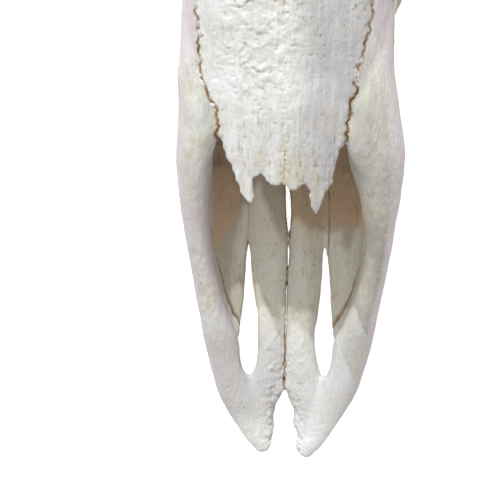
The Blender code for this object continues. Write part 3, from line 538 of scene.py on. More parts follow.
LEDGE_LEFT = [
    (-52, 158, 93), (-49, 172, 99), (-47, 184, 103.5), (-48.5, 198, 106), (-52, 215, 105), (-52, 236, 104),
]
LEDGE_RIGHT = [
    (46, 158, 94), (41, 172, 100), (39, 184, 105), (40.5, 198, 108), (43.5, 215, 109), (45, 236, 108),
]
LEDGE_WIDE = [4, 7.5, 9, 9, 7, 3]
LEDGE_HIGH = [3, 5.5, 6, 6, 5, 3]
CREASE_AT = [60, 84, 104, 128, 160, 196]
CREASE_X = [12, 14.5, 12.8, 10.2, 9.0, 9.0]
CREASE_SLOPE = 0.62
SLOT_LEFT = [
    (-24.4, 126.5), (-25.6, 119), (-26.2, 110), (-26.7, 100.6), (-27, 89.5), (-27.3, 82), (-28.3, 72),
    (-28.3, 63.4), (-27.8, 54), (-26.6, 49), (-24.8, 46.2), (-23.2, 45.2), (-21.4, 45.8), (-19.8, 48.2),
    (-18.4, 52.5), (-17.7, 60), (-17.8, 68), (-18.1, 82.3), (-19.5, 89.7), (-21.6, 100.7), (-22.7, 110),
    (-23.4, 119),
]
SLOT_RIGHT = [
    (20.4, 126.5), (22, 119), (23.2, 111), (24.1, 101.7), (24.5, 90.7), (24.8, 83.3), (25.2, 74),
    (26.4, 68), (26.4, 62), (25.9, 55), (24.9, 49.6), (23.6, 46), (22, 44.8), (20.4, 46), (19.2, 48.6),
    (17.8, 53.5), (16.8, 60), (16.7, 68), (17.4, 83.2), (18.6, 92.4), (19.4, 105.4), (19.6, 117),
]
RIGHT_BAR_NARROWER = [[84, 105, 120, 150], [0, 1.2, 1.3, 0]]
BAR_BOTTOM_Z = 25
BAR_TALL = 11.6
FACET_FROM_S = 62
FACET_GROWS_OVER = 12


def facet(obj):
    """Slants a bar's outer side: past the crease its height above the bottom shrinks with x."""
    points = read_points(obj.data)
    past = np.clip(points[:, 0] - follow(points[:, 1], CREASE_AT, CREASE_X), 0, 20)
    sink = CREASE_SLOPE * past / BAR_TALL * np.clip((points[:, 1] - FACET_FROM_S) / FACET_GROWS_OVER, 0, 1)
    points[:, 2] = BAR_BOTTOM_Z + (points[:, 2] - BAR_BOTTOM_Z) * (1 - np.clip(sink, 0, 0.7))
    write_points(obj.data, points)


fine = collection("fine forms")
for path in (LEDGE_LEFT, LEDGE_RIGHT):
    lean(sweep("ledge", path, LEDGE_WIDE, LEDGE_HIGH, fine, rings=40, around=32))
for side in (-1, 1):
    path, wide = np.array(ARM_PATH, float), np.array(ARM_WIDE, float)
    if side == 1:
        shift = follow(path[:, 1], ARM_INWARDS_AT, ARM_INWARDS)
        path[:, 0] -= shift / 2
        wide += shift / 2
    path[:, 0] *= side
    lean(sweep("arm", path, wide, ARM_HIGH, fine, rings=150, around=48))
    path, wide = np.array(BAR_PATH, float) * (side, 1, 1), np.array(BAR_WIDE, float)
    if side == 1:
        wide -= follow(path[:, 1], *RIGHT_BAR_NARROWER)
    bar = sweep("bar", path, wide, BAR_HIGH, fine, rings=120, around=48, square=2.2)
    if side == 1:
        facet(bar)
    lean(bar)

# The nasals' free front, which overhangs the nose: an arched plate that ends in a ragged
# edge with one long prong on each side of a torn middle.
NASAL_FRONT = [
    (-44, 222), (-42, 203), (-41, 194), (-40.1, 185.7), (-39.5, 181.4), (-36.7, 178.7), (-35.5, 174.4),
    (-33.8, 168.5), (-31, 165.2), (-28.7, 159.8), (-27, 153.3), (-25.6, 150.1), (-21.9, 145.7),
    (-19.7, 144.4), (-18.9, 147.4), (-19.7, 150.1), (-18.7, 158.2), (-16.5, 159.6), (-15.2, 162.6),
    (-13.8, 159.9), (-12.1, 156.7), (-9.3, 154.9), (-4.4, 154.7), (-3.9, 160), (-3.1, 155.5),
    (-1.1, 154.2), (0, 152), (3.2, 152.6), (7, 154.9), (9.7, 156.3), (10.9, 152.8), (12.4, 143.1),
    (14.7, 139.2), (16, 141.6), (18.6, 149.8), (22.8, 155.8), (23.5, 160.7), (25.2, 168.3),
    (26.7, 172.6), (26.1, 174.2), (30.4, 178.3), (30.5, 183.9), (29.8, 189.7), (32, 203), (35, 222),
]
NASAL_THICK = 4.2
NASAL_ARCH = 0.0062
PLATE_AT = [128, 152, 180, 194, 205, 222]
PLATE_TOP = [101.5, 108.5, 117, 120.8, 122.8, 125.4]
TORN_WAVES = [(3.0, 0.6), (1.5, 0.7)]
NO_WAVES = [(3, 0.0)]
PLATE_END = 221
EDGE_PLATE_END = 203
EDGE_PLATE_SINKS = 2.6
PRONG_LEFT_X = -28.7
PRONG_RIGHT_X = 22.8
TORN_UP_TO_S = 172
TRIM_TO_S = 128
FACE_VOXEL = 1.2
FACE_ROUNDS = 6


def lattice(ix, iy, iz, seed):
    """A number from -1 to 1 for each point of a whole-number grid: the three numbers and
    the seed are multiplied by large odd numbers, added and scrambled."""
    h = ix * 374761393 + iy * 668265263 + iz * 2654435761 + seed * 974634777
    h = (h ^ (h >> 13)) * 1274126177
    h = h ^ (h >> 16)
    return (h & 0xFFFFFF) / 0x7FFFFF - 1.0


def noise(points, size, seed):
    """Smooth seeded noise from -1 to 1: values at the corners of a grid of cells of the
    given size, one size or three, blended by 6t^5 - 15t^4 + 10t^3 within each cell."""
    at = np.asarray(points, float) / size + 1000.37
    cell = np.floor(at).astype(np.int64)
    t = at - cell
    w = t * t * t * (t * (t * 6 - 15) + 10)
    total = 0.0
    for dx in (0, 1):
        wx = w[..., 0] if dx else 1 - w[..., 0]
        for dy in (0, 1):
            wy = w[..., 1] if dy else 1 - w[..., 1]
            for dz in (0, 1):
                wz = w[..., 2] if dz else 1 - w[..., 2]
                corner = lattice(cell[..., 0] + dx, cell[..., 1] + dy, cell[..., 2] + dz, seed)
                total = total + corner * wx * wy * wz
    return total


def wander(at, waves, seed):
    """A line's sideways wander along its length: a sum of noise curves, each given by its
    wavelength and its amount."""
    total = np.zeros_like(at)
    for number, (length, amount) in enumerate(waves):
        spot = np.stack([at / length, np.full_like(at, 7.3 * number), np.zeros_like(at)], axis=-1)
        total += amount * noise(spot, 1.0, seed)
    return total


def square_to(line):
    """For each point of a flat line a direction square to it: the way from the point
    before to the point after, turned a quarter. Its length isn't 1 yet."""
    ahead = np.gradient(line, axis=0)
    return np.stack([-ahead[:, 1], ahead[:, 0]], axis=1)


def ragged(line, step, waves, seed):
    """Points at even steps along a line, each moved square to it by wander()."""
    corners = np.asarray(line, float)
    along = run_of(corners)
    at = np.linspace(0, along[-1], max(2, round(along[-1] / step)))
    flat = np.stack([np.interp(at, along, corners[:, k]) for k in (0, 1)], axis=1)
    normal = square_to(flat)
    normal /= np.linalg.norm(normal, axis=1, keepdims=True) + 1e-9
    return flat + normal * wander(at, waves, seed)[:, None]


def prism(name, outline, low, high, into):
    """A flat outline in x and s, carried straight up from one height to another."""
    outline = np.asarray(outline, float)
    grid = np.stack([place(outline[:, 0], outline[:, 1], z) for z in (low, high)])
    return loft(name, grid, into)


def nasal_plate(name, s_end, sink, into, edge_waves):
    """The plate: top height by s, dropping with the square of x, cut to the outline. sink
    lowers it towards its rear end, where it goes under the face's roof."""
    s = np.linspace(128, s_end, 60)
    top = follow(s, PLATE_AT, PLATE_TOP) - sink * np.clip((s - 160) / 26, 0, 1)
    across = np.linspace(-45, 45, 90)
    drop = NASAL_ARCH * across**2
    x = np.concatenate([across, across[::-1]])
    z = np.concatenate([-drop, -drop[::-1] - NASAL_THICK])
    plate = loft(name, place(x, s[:, None], top[:, None] + z), into)
    cutter = collection("nasal cutter")
    prism("nasal edge", ragged(NASAL_FRONT, 0.6, edge_waves, 5), 60, 150, cutter)
    return combine(plate, cutter, "INTERSECT")


def cut_slots(obj):
    """Cuts the narrow slots between the bars and the palate."""
    slots = collection("slots")
    prism("left slot", SLOT_LEFT, 0, 70, slots)
    prism("right slot", SLOT_RIGHT, 0, 70, slots)
    combine(obj, slots, "DIFFERENCE")


nasal_plate("nasal plate", PLATE_END, 0.0, fine, NO_WAVES)
combine(skull, fine, "UNION")
cut_slots(skull)
remesh(skull, FACE_VOXEL, FACE_ROUNDS)
sharp = collection("sharp edge")
nasal_plate("nasal edge plate", EDGE_PLATE_END, EDGE_PLATE_SINKS, sharp, TORN_WAVES)
combine(skull, sharp, "UNION")
torn_edge = ragged(NASAL_FRONT, 0.6, TORN_WAVES, 5)
between_prongs = (torn_edge[:, 0] > PRONG_LEFT_X) & (torn_edge[:, 0] < PRONG_RIGHT_X)
torn_edge = torn_edge[between_prongs & (torn_edge[:, 1] < TORN_UP_TO_S)]
trim_corners = [(24, TRIM_TO_S), (-30, TRIM_TO_S)]
trim = collection("front trim")
prism("front trim", np.concatenate([torn_edge - (0, 0.05), trim_corners]), 92, 150, trim)
combine(skull, trim, "DIFFERENCE")
cut_slots(skull)

# The sutures, where the bones of the skull meet: thin wavy cuts right through the one body.
# Each is a wall along a line in one plane that reaches between two values of the third
# measure. Those beside the nasals lean inwards below the roof and end in the nose.
SUTURE_GAP = 0.3
WALL_STEP = 0.9
FULL_HEIGHT = (-20, 230)
PAST_NASAL_WALL = 0.4
MEETS_NASAL_S = 215
BESIDE_BAR = 23.0
OUTSIDE_X = 90.0
MIDLINE_SEED = 6
LEFT_SIDE_SEED = 14
RIGHT_SIDE_SEED = 15
FEWEST_FACES = 400
FINE_WAVES = [(9, 0.9), (3.6, 0.8), (1.6, 0.3)]
FACE_TO_BRAINCASE = [(0, 338), (30, 342), (42, 360), (47, 379), (70, 384), (130, 400)]
NASAL_LEFT_SIDE = [
    (-40.6, 110), (-40.6, 186), (-40.8, 192.5), (-41.9, 198.2), (-44.9, 202.7), (-46.2, 208),
    (-48.7, 215), (-48.4, 219), (-50.2, 224), (-51.2, 229), (-49.8, 233), (-51.2, 240), (-52.4, 246),
    (-51, 262), (-46, 290), (-38, 320), (-32.5, 349.5),
]
NASAL_RIGHT_SIDE = [
    (31.2, 110), (31.2, 190), (31.9, 194.9), (33.4, 199), (36.4, 204), (35.1, 209.4), (36.9, 213.2),
    (36.4, 216), (38.4, 222), (38.4, 230), (40.9, 236), (42.3, 243), (42.2, 248), (43.5, 262),
    (41, 290), (36, 320), (32.5, 349.5),
]
NASAL_SLANT = 0.4
SIDE_WAVES = [(7.5, 1.3), (3.0, 1.4), (1.5, 0.9)]
MIDLINE_WAVES = [(7, 0.45), (2.2, 0.35)]
NASAL_ROOF_AT = [110, 180, 250, 340]
NASAL_ROOF = [96, 110, 124, 148]
PREMAXILLA_TO_MAXILLA = [
    (58, -6), (58, 12), (70, 25), (82, 30.5), (91, 34), (100, 37.5), (107, 41), (113, 47), (121, 56),
    (140, 67), (165, 79), (200, 86), (236, 92), (252, 100), (261, 116), (263, 150),
]
SMOOTHER_WAVES = [(9, 0.35), (2.6, 0.3)]
BAR_TO_MAXILLA = [(0, 198), (11, 196), (21, 185), (24, 150), (23.5, 120), (24.5, 94)]
MIDLINE = [(0, -12), (0, 342)]
SLIT_LEFT = [(-0.3, 127), (-1.0, 130), (-2.2, 137), (-2.7, 145), (-3.3, 157), (-3.4, 163)]
SLIT_RIGHT = [(-0.8, 163), (-0.9, 157), (0.1, 149), (0.4, 140), (0.1, 133), (-0.1, 127)]
SMALL_SLIT = [(-0.7, 110), (-1.2, 115), (-1.1, 121), (-0.3, 122), (0, 117), (-0.5, 110)]
JUGAL_INSIDE = [(128, 112), (64, 112), (60, 108), (60, 20)]
TEMPORAL_EDGE = [(108, 128), (60, 126), (34, 112), (26, 90), (26, 30)]
OCCIPITAL_EDGE = [(-110, 600), (-40, 592), (40, 592), (110, 600)]
OSSICONE_SEAM = [(447, 194), (550, 183)]
BOSS_SEAM = [(300, 157.6), (345, 165.6), (372, 175.3), (404, 184), (424, 188), (446, 192)]


def mirrored(line):
    """A line that starts on the midline, with its mirror image before it."""
    line = np.asarray(line, float)
    return np.concatenate([line[:0:-1] * (-1, 1), line])


def banks(line, gap):
    """A wall's four corners at each point of a line, half the gap away from it: one on the
    left, two on the right, and one on the left again."""
    normal = square_to(line)
    normal *= gap / 2 / np.linalg.norm(normal, axis=1, keepdims=True)
    return np.stack([line + normal, line - normal, line - normal, line + normal], axis=1)


def wall(name, line, reach, plane, into, waves=FINE_WAVES, seed=1, gap=SUTURE_GAP):
    """A thin wall along a ragged line: two copies of the line half the gap to each side,
    carried between the two values of reach."""
    a = banks(ragged(line, WALL_STEP, waves, seed), gap)
    c = np.broadcast_to([reach[0], reach[0], reach[1], reach[1]], a.shape[:2])
    x, s, z = {
        "plan": (a[..., 0], a[..., 1], c),
        "side": (c, a[..., 0], a[..., 1]),
        "front": (a[..., 0], c, a[..., 1]),
    }[plane]
    return loft(name, place(x, s, z), into)


def inwards(side, s, z):
    """How far the wall beside a nasal has moved towards the middle at a height below the roof."""
    return side * NASAL_SLANT * np.maximum(follow(s, NASAL_ROOF_AT, NASAL_ROOF) - z, 0)


def side_line(line, seed):
    """The s and x of the suture beside a nasal at the roof, with its curls."""
    line = np.asarray(line, float)
    s = np.arange(line[0, 1], line[-1, 1], 0.4)
    curl = np.interp(s, [150, 200, 300], [0.5, 1.0, 1.0])
    return s, np.interp(s, line[:, 1], line[:, 0]) + curl * wander(s, SIDE_WAVES, seed)


def side_walls(line, side, into, seed):
    """The wall beside a nasal, and the one between premaxilla and maxilla that ends on it."""
    s, x = side_line(line, seed)
    roof = follow(s, NASAL_ROOF_AT, NASAL_ROOF)
    low, sky = np.full_like(s, 84), np.full_like(s, 230)
    z = np.stack([low, roof, sky, sky, roof, low], axis=1)
    half_gap = np.array([1, 1, 1, -1, -1, -1]) * SUTURE_GAP / 2
    loft("nasal side", place(x[:, None] - inwards(side, s[:, None], z) + half_gap, s[:, None], z), into)
    edge = banks(ragged(PREMAXILLA_TO_MAXILLA, WALL_STEP, SMOOTHER_WAVES, seed + 20), SUTURE_GAP)
    edge_s, edge_z = edge[..., 0], edge[..., 1]
    inner = np.interp(edge_s, s, x) - side * PAST_NASAL_WALL - inwards(side, edge_s, edge_z)
    inner = np.where(edge_s > MEETS_NASAL_S, inner, side * BESIDE_BAR)
    wall_x = np.where(np.array([0, 0, 1, 1]) > 0, side * OUTSIDE_X, inner)
    loft("premaxilla side", place(wall_x, edge_s, edge_z), into)


def horn_seams(into):
    """The cuts under the ossicones and under the boss, made first."""
    both_sides(wall("ossicone seam", OSSICONE_SEAM, (8, 100), "side", into, seed=31), into)
    wall("boss seam", BOSS_SEAM, (-60, 60), "side", into, seed=32)


def sutures(into):
    """Every other cut: those that follow the skull's lean, those that are the same on both
    sides, and those drawn where they are."""
    leaned = [
        wall("face to braincase", mirrored(FACE_TO_BRAINCASE), FULL_HEIGHT, "plan", into, seed=3),
        wall("bar to maxilla", mirrored(BAR_TO_MAXILLA), (8, 62), "plan", into, [(8, 0.3)], 4, 0.1),
        wall("midline", MIDLINE, FULL_HEIGHT, "plan", into, MIDLINE_WAVES, MIDLINE_SEED, 0.25),
        wall("palate roof", [(-64, 102), (64, 102)], (330, 522), "front", into, seed=7),
        wall("frontal to parietal", [(-80, 520), (80, 520)], FULL_HEIGHT, "plan", into, seed=8),
        wall("parietal to occipital", OCCIPITAL_EDGE, FULL_HEIGHT, "plan", into, seed=9),
    ]
    for piece in leaned:
        lean(piece)
    for piece in [
        wall("jugal inside", JUGAL_INSIDE, (372, 440), "front", into, seed=10),
        wall("jugal to temporal", [(80, 516), (125, 510)], (60, 130), "plan", into, seed=11),
        wall("jugal to frontal", [(450, 130), (490, 130)], (94, 130), "side", into, seed=12),
        wall("temporal edge", TEMPORAL_EDGE, (500, 606), "front", into, seed=13),
    ]:
        both_sides(piece, into)
    side_walls(NASAL_LEFT_SIDE, -1, into, LEFT_SIDE_SEED)
    side_walls(NASAL_RIGHT_SIDE, 1, into, RIGHT_SIDE_SEED)
    prism("slit", SLIT_LEFT + SLIT_RIGHT, 8, 60, into)
    prism("small slit", SMALL_SLIT, 8, 60, into)


def bodies(mesh):
    """The separate closed surfaces of a mesh, largest first: each point takes the lowest
    number among the points it is joined to, again and again, until nothing changes."""
    edges = as_array(mesh.edges, "vertices", 2, np.int64)
    label = np.arange(len(mesh.vertices))
    while True:
        low = np.minimum(label[edges[:, 0]], label[edges[:, 1]])
        new = label.copy()
        np.minimum.at(new, edges[:, 0], low)
        np.minimum.at(new, edges[:, 1], low)
        new = new[new]
        if np.array_equal(new, label):
            break
        label = new
    mesh.calc_loop_triangles()
    tris = as_array(mesh.loop_triangles, "vertices", 3, np.int64)
    points = as_array(mesh.vertices, "co", 3)
    owner = label[tris[:, 0]]
    names, counts = np.unique(owner, return_counts=True)
    parts = []
    for name in names[np.argsort(-counts)]:
        group = tris[owner == name]
        if len(group) < FEWEST_FACES:
            break
        used, index = np.unique(group, return_inverse=True)
        parts.append((points[used], index.reshape(-1, 3)))
    return parts


def new_mesh(name, points, faces):
    """A mesh from arrays of points, in metres, and of faces."""
    mesh = bpy.data.meshes.new(name)
    mesh.from_pydata(points.tolist(), [], faces.tolist())
    return mesh


suture_points, suture_faces = [], []


def part(obj, draw):
    """Cuts an object with walls, keeps the walls' faces for later, and returns the parts."""
    walls = collection("walls")
    draw(walls)
    for piece in walls.objects:
        start = len(suture_points)
        suture_points.extend(v.co.copy() for v in piece.data.vertices)
        sides = [p.vertices for p in piece.data.polygons if len(p.vertices) == 4]
        suture_faces.extend([start + i for i in corners] for corners in sides)
    combine(obj, walls, "DIFFERENCE")
    parts = bodies(obj.data)
    bpy.data.objects.remove(obj, do_unlink=True)
    return parts


parts = part(skull, horn_seams)
rest = link(new_mesh("rest", *parts[0]), "rest", scene.collection)
parts = parts[1:] + part(rest, sutures)
suture_tree = BVHTree.FromPolygons(suture_points, suture_faces)

# The bone itself. Each bone gets a skin of its own, of even squares 0.6 to 1.5 mm wide, so
# that it can carry the pores, fibres and pits of real bone. Dry bone is cream white,
# browner in its pits and seams, and olive and pink where stained. Other tints are painted
# light and shade: whiter where light falls, grey, brown and a painted shadow where shade
# falls, and a painted pink sheen on faces that turn sideways.
BONE_PALE = (0.90, 0.90, 0.885, 1)
BONE_WARM = (0.83, 0.815, 0.765, 1)
BONE_BLOTCH = (0.755, 0.75, 0.665, 1)
BONE_GRAIN = (0.64, 0.605, 0.53, 1)
BONE_LIGHT = (0.96, 0.965, 0.965, 1)
BONE_OLIVE = (0.69, 0.63, 0.49, 1)
# pink stain, and a painted pink sheen on faces that turn sideways
BONE_PINK = (0.79, 0.70, 0.75, 1)
BONE_BROWN = (0.42, 0.29, 0.15, 1)
# brown under the nasals: stain and painted shade
BONE_DEEP = (0.85, 0.655, 0.46, 1)
# painted light
BONE_CLEAN = (0.955, 0.975, 0.98, 1)
BONE_SHADE = (0.74, 0.725, 0.67, 1)
# grey, mostly painted shade
BONE_GREY = (0.56, 0.545, 0.565, 1)
# painted shadow
BONE_FILM = (0.47, 0.465, 0.405, 1)
BONE_SPECK = (0.52, 0.42, 0.28, 1)
SEAM_BROWN = (0.34, 0.21, 0.09, 1)
TINTS = [
    ("clean", BONE_CLEAN), ("grey", BONE_GREY), ("film", BONE_FILM),
    ("olive", BONE_OLIVE), ("pink", BONE_PINK), ("deep", BONE_DEEP),
]
TOP_TINTS = [("pit", BONE_BROWN), ("seam", SEAM_BROWN)]
MOTTLE = 0.65
GRAIN = 0.5
SPECK_CELL_MM = 3.2
BONE_ROUNDS = 2
FINE_RELIEF = [
    # size in mm, detail, whether it runs with the fibres, depth in m
    (3.2, 3, True, 0.0003),
    (1.0, 4, True, 0.0005),
    (0.6, 2, False, 0.0003),
]


def bone_material(name, pale=BONE_PALE, warm=BONE_WARM, fibre=(1.0, 0.22, 1.0), rough=0.58, bump=0.9):
    """Dry bone: a cloudy mix of two creams, then the stains and the painted light and shade
    that the bone's own attributes ask for, a darker grain in patches, scattered specks, and
    pores and fibres as bump."""
    material = bpy.data.materials.new(name)
    material.use_nodes = True
    tree = material.node_tree
    shader = tree.nodes["Principled BSDF"]
    coordinates = tree.nodes.new("ShaderNodeTexCoord")

    def texture(size_mm, detail, stretch=(1, 1, 1)):
        mapping = tree.nodes.new("ShaderNodeMapping")
        mapping.inputs["Scale"].default_value = stretch
        tree.links.new(coordinates.outputs["Object"], mapping.inputs["Vector"])
        made = tree.nodes.new("ShaderNodeTexNoise")
        made.inputs["Scale"].default_value = 1000 / size_mm
        made.inputs["Detail"].default_value = detail
        tree.links.new(mapping.outputs["Vector"], made.inputs["Vector"])
        return made.outputs["Fac"]

    def ramp(value, low, high):
        made = tree.nodes.new("ShaderNodeMapRange")
        made.inputs["From Min"].default_value = low
        made.inputs["From Max"].default_value = high
        tree.links.new(value, made.inputs["Value"])
        return made.outputs["Result"]

    def scaled(value, by):
        made = tree.nodes.new("ShaderNodeMath")
        made.operation = "MULTIPLY"
        tree.links.new(value, made.inputs[0])
        if isinstance(by, float):
            made.inputs[1].default_value = by
        else:
            tree.links.new(by, made.inputs[1])
        return made.outputs["Value"]

    def attribute(word):
        made = tree.nodes.new("ShaderNodeAttribute")
        made.attribute_name = word
        return made.outputs["Fac"]

    def mix(factor, first, second, way="MIX"):
        made = tree.nodes.new("ShaderNodeMix")
        made.data_type = "RGBA"
        made.blend_type = way
        tree.links.new(factor, made.inputs["Factor"])
        for socket, value in (("A", first), ("B", second)):
            target = [i for i in made.inputs if i.name == socket and i.type == "RGBA"][0]
            if isinstance(value, tuple):
                target.default_value = value
            else:
                tree.links.new(value, target)
        return [o for o in made.outputs if o.type == "RGBA"][0]

    colour = mix(ramp(texture(26, 4), 0.35, 0.68), pale, warm)
    colour = mix(scaled(ramp(texture(6.5, 5), 0.42, 0.72), MOTTLE), colour, BONE_BLOTCH)
    colour = mix(scaled(ramp(texture(2.2, 4, fibre), 0.45, 0.78), MOTTLE), colour, BONE_GRAIN)
    colour = mix(scaled(ramp(texture(1.7, 2), 0.50, 0.74), MOTTLE), colour, BONE_LIGHT)
    for word, tint in TINTS:
        colour = mix(attribute(word), colour, tint)
    grain = scaled(ramp(texture(0.9, 3, fibre), 0.5, 0.7), ramp(texture(11, 3), 0.42, 0.62))
    colour = mix(scaled(grain, GRAIN), colour, BONE_SHADE, "MULTIPLY")
    specks = tree.nodes.new("ShaderNodeTexVoronoi")
    specks.inputs["Scale"].default_value = 1000 / SPECK_CELL_MM
    tree.links.new(coordinates.outputs["Object"], specks.inputs["Vector"])
    speck = scaled(ramp(specks.outputs["Distance"], 0.16, 0.06), ramp(texture(3.6, 1), 0.60, 0.66))
    colour = mix(speck, colour, BONE_SPECK)
    for word, tint in TOP_TINTS:
        colour = mix(attribute(word), colour, tint)
    tree.links.new(colour, shader.inputs["Base Color"])
    shader.inputs["Roughness"].default_value = rough
    shader.inputs["Specular IOR Level"].default_value = 0.35
    lower = None
    for size_mm, detail, with_fibres, deep in FINE_RELIEF:
        height = texture(size_mm, detail, fibre if with_fibres else (1, 1, 1))
        relief = tree.nodes.new("ShaderNodeBump")
        relief.inputs["Strength"].default_value = bump
        relief.inputs["Distance"].default_value = deep
        tree.links.new(height, relief.inputs["Height"])
        if lower:
            tree.links.new(lower, relief.inputs["Normal"])
        lower = relief.outputs["Normal"]
    tree.links.new(lower, shader.inputs["Normal"])
    return material


def step_up(value, low, high):
    """0 below low, 1 above high and 3t^2 - 2t^3 between; with low above high it falls."""
    t = np.clip((value - low) / (high - low), 0, 1)
    return t * t * (3 - 2 * t)


def patches(points, size, seed, low, high):
    """Patches of about a size: step_up() of seeded noise."""
    return step_up(noise(points, size, seed), low, high)


def bump_at(points, x, s, wide, long):
    """A soft round patch in plan: exp(-(dx / wide)^2 - (ds / long)^2)."""
    return np.exp(-(((points[:, 0] - x) / wide) ** 2) - ((points[:, 1] - s) / long) ** 2)


def normals_of(mesh):
    """The mesh's point normals as an array."""
    return as_array(mesh.vertex_normals, "vector", 3)


def seam_distance(points, reach=4.0):
    """How far each point is from the nearest suture, in millimetres, up to a reach."""
    found = (suture_tree.find_nearest(point, reach * MM)[3] for point in placed(points))
    return np.array([reach if d is None else d / MM for d in found])


def bone(name, seed_at, voxel):
    """The part of the cut skull nearest to a place inside it, as an object with a fine
    even skin, with its points p, its normals n and its distances to the sutures."""
    gaps = [np.min(np.sum((p / MM + (0, MIDDLE_S, 0) - seed_at) ** 2, axis=1)) for p, _ in parts]
    obj = link(new_mesh(name, *parts[int(np.argmin(gaps))]), name, scene.collection)
    remesh(obj, voxel, BONE_ROUNDS)
    points = read_points(obj.data)
    return obj, points, normals_of(obj.data), seam_distance(points)


def grown(points, seed):
    """The relief that every bone has, in millimetres: slow swells, finer unevenness, and
    fibres that run from front to back."""
    relief = 0.3 * noise(points, 17, seed) + 0.16 * noise(points, 6.5, seed + 1)
    relief += 0.09 * noise(points, 2.6, seed + 2)
    return relief + 0.08 * noise(points, (1.6, 14, 1.8), seed + 3)


def stained(points, seam, seed, width=0.5, least=0.35):
    """How brown the suture is: strong within a width of it, in dashes."""
    dashes = patches(points, (2.6, 2.6, 6), seed, -0.35, 0.25)
    return step_up(seam, width, 0.15) * (least + (1 - least) * dashes)


def closed_up(normals, seam, amount=0.22):
    """A lip that lifts the rounded edges along the sutures, so that the cuts look narrow."""
    return amount * step_up(seam, 1.3, 0.1) * (0.35 + 0.65 * np.clip(normals[:, 2], 0, 1))


def place_bone(obj, node, points, material, slot_name="bone", **masks):
    """Writes the moved points back, stores the masks as attributes that the material reads,
    and lets the bone ride with the skull in place of its CAD node."""
    points[:, 2] = np.maximum(points[:, 2], 0.0)
    write_points(obj.data, points)
    for word, _ in TINTS + TOP_TINTS:
        layer = obj.data.attributes.new(word, "FLOAT", "POINT")
        values = np.clip(masks.get(word, np.zeros(len(points))), 0, 1)
        layer.data.foreach_set("value", values.astype(np.float32))
    obj.data.polygons.foreach_set("use_smooth", np.ones(len(obj.data.polygons), dtype=bool))
    obj.data.materials.clear()
    obj.data.materials.append(material)
    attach(obj, "root")
    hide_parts(node)
